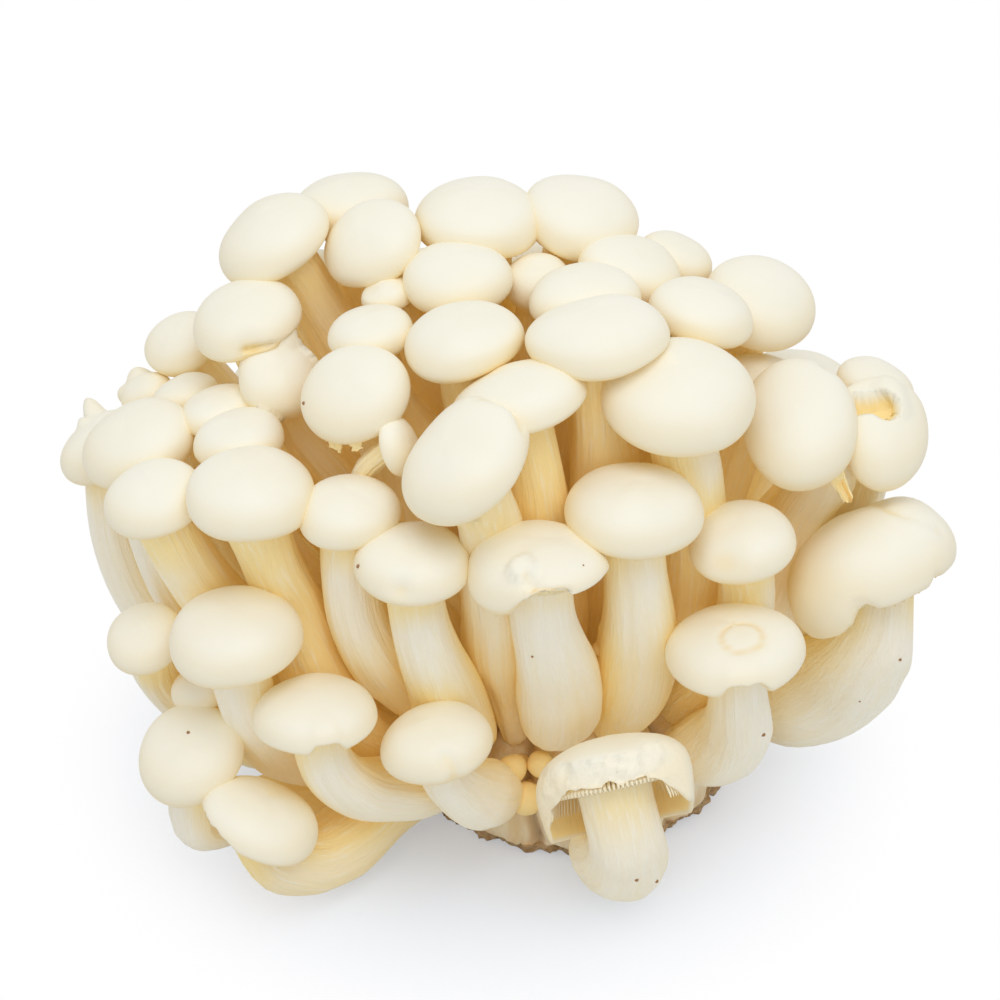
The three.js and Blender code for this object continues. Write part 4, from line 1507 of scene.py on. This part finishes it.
class SHIMEJI_OT_stage(bpy.types.Operator):
    """Set the pale floor, the even sky, the lamp and the camera"""

    bl_idname = "shimeji.stage"
    bl_label = "Stage"

    def execute(self, context):
        scene = context.scene
        scene.view_settings.view_transform = "Standard"
        scene.cycles.diffuse_bounces = BOUNCES
        self.add_floor(scene)
        self.add_sky(scene)
        self.add_lamp(scene)
        self.add_camera(scene)
        return {"FINISHED"}

    def add_floor(self, scene):
        shape = bmesh.new()
        bmesh.ops.create_circle(shape, cap_ends=True, segments=96, radius=FLOOR_RADIUS)
        mesh = mesh_from("floor", shape)
        material, tree = new_material("pale_floor")
        where = add_node(tree, "ShaderNodeTexCoord", output="Object")
        beside = add_node(tree, "ShaderNodeVectorMath", {"operation": "ADD"},
                          {0: where, 1: SHADE_SHIFT})
        away = add_node(tree, "ShaderNodeVectorMath", {"operation": "LENGTH"},
                        {0: beside}, output="Value")
        far = limits(tree, away, FLOOR_NEAR, FLOOR_FAR)
        lit = far * (1 - FLOOR_WHITE) + FLOOR_WHITE
        seen = add_node(tree, "ShaderNodeLightPath", output="Is Camera Ray")
        paint = blend_colours(tree, seen, PAINT, PAINT_SEEN)
        matt = add_node(tree, "ShaderNodeBsdfDiffuse", {}, {"Color": paint})
        white = blend_colours(tree, far * (2 - far), GLOW_NEAR, (1, 1, 1))
        glow = add_node(tree, "ShaderNodeEmission", {}, {"Color": white, "Strength": 1.0})
        surface = add_node(tree, "ShaderNodeMixShader", {}, {0: seen * lit, 1: matt, 2: glow})
        add_node(tree, "ShaderNodeOutputMaterial", {}, {"Surface": surface})
        mesh.materials.append(material)
        floor = bpy.data.objects.new("floor", mesh)
        scene.collection.objects.link(floor)

    def add_sky(self, scene):
        world = bpy.data.worlds.new("even_sky")
        scene.world = world
        world.use_nodes = True
        tree = world.node_tree
        tree.nodes.clear()
        direct, mirrored, through = (
            add_node(tree, "ShaderNodeLightPath", output=f"Is {ray} Ray")
            for ray in ("Camera", "Glossy", "Transmission")
        )
        level = add_node(tree, "ShaderNodeMix", {"data_type": "FLOAT", "clamp_factor": True},
                         {0: direct + mirrored + through, 2: scene.shimeji_light.sky, 3: 1.0})
        white = add_node(tree, "ShaderNodeBackground", {},
                         {"Color": (1, 1, 1, 1), "Strength": level})
        add_node(tree, "ShaderNodeOutputWorld", {}, {"Surface": white})

    def add_lamp(self, scene):
        light = bpy.data.lights.new("broad_lamp", "AREA")
        light.shape = "DISK"
        light.size = LAMP_WIDTH
        light.energy = scene.shimeji_light.lamp
        lamp = bpy.data.objects.new("broad_lamp", light)
        lamp.location = LAMP_PLACE
        lamp.rotation_mode = "QUATERNION"
        lamp.rotation_quaternion = (CAMERA_TARGET - LAMP_PLACE).to_track_quat("-Z", "Y")
        scene.collection.objects.link(lamp)

    def add_camera(self, scene):
        data = bpy.data.cameras.new("camera")
        data.lens = CAMERA_LENS
        camera = bpy.data.objects.new("camera", data)
        back = Vector((0, -math.cos(CAMERA_RISE), math.sin(CAMERA_RISE)))
        camera.location = CAMERA_TARGET + back * CAMERA_DISTANCE
        camera.rotation_mode = "QUATERNION"
        camera.rotation_quaternion = (-back).to_track_quat("-Z", "Y")
        scene.collection.objects.link(camera)
        scene.camera = camera


STEPS = (
    SHIMEJI_OT_crown,
    SHIMEJI_OT_left,
    SHIMEJI_OT_front,
    SHIMEJI_OT_right,
    SHIMEJI_OT_skirt,
    SHIMEJI_OT_back,
    SHIMEJI_OT_base,
    SHIMEJI_OT_details,
    SHIMEJI_OT_stage,
)


class SHIMEJI_PT_panel(bpy.types.Panel):
    """The bunch's settings and the steps that build it"""

    bl_idname = "SHIMEJI_PT_panel"
    bl_label = "Shimeji"
    bl_space_type = "VIEW_3D"
    bl_region_type = "UI"
    bl_category = "Shimeji"

    def draw(self, context):
        scene = context.scene
        for group in (scene.shimeji_sizes, scene.shimeji_colours, scene.shimeji_light):
            for key in group.__annotations__:
                self.layout.prop(group, key)
        for step in STEPS:
            self.layout.operator(step.bl_idname)


CLASSES = (ShimejiSizes, ShimejiColours, ShimejiLight, *STEPS, SHIMEJI_PT_panel)


def register():
    for item in CLASSES:
        bpy.utils.register_class(item)
    bpy.types.Scene.shimeji_sizes = bpy.props.PointerProperty(type=ShimejiSizes)
    bpy.types.Scene.shimeji_colours = bpy.props.PointerProperty(type=ShimejiColours)
    bpy.types.Scene.shimeji_light = bpy.props.PointerProperty(type=ShimejiLight)


def unregister():
    del bpy.types.Scene.shimeji_light
    del bpy.types.Scene.shimeji_colours
    del bpy.types.Scene.shimeji_sizes
    for item in reversed(CLASSES):
        bpy.utils.unregister_class(item)


def main():
    """Builds the bunch step by step."""
    register()
    for step in STEPS:
        group, name = step.bl_idname.split(".")
        getattr(getattr(bpy.ops, group), name)()


if __name__ == "__main__":
    main()
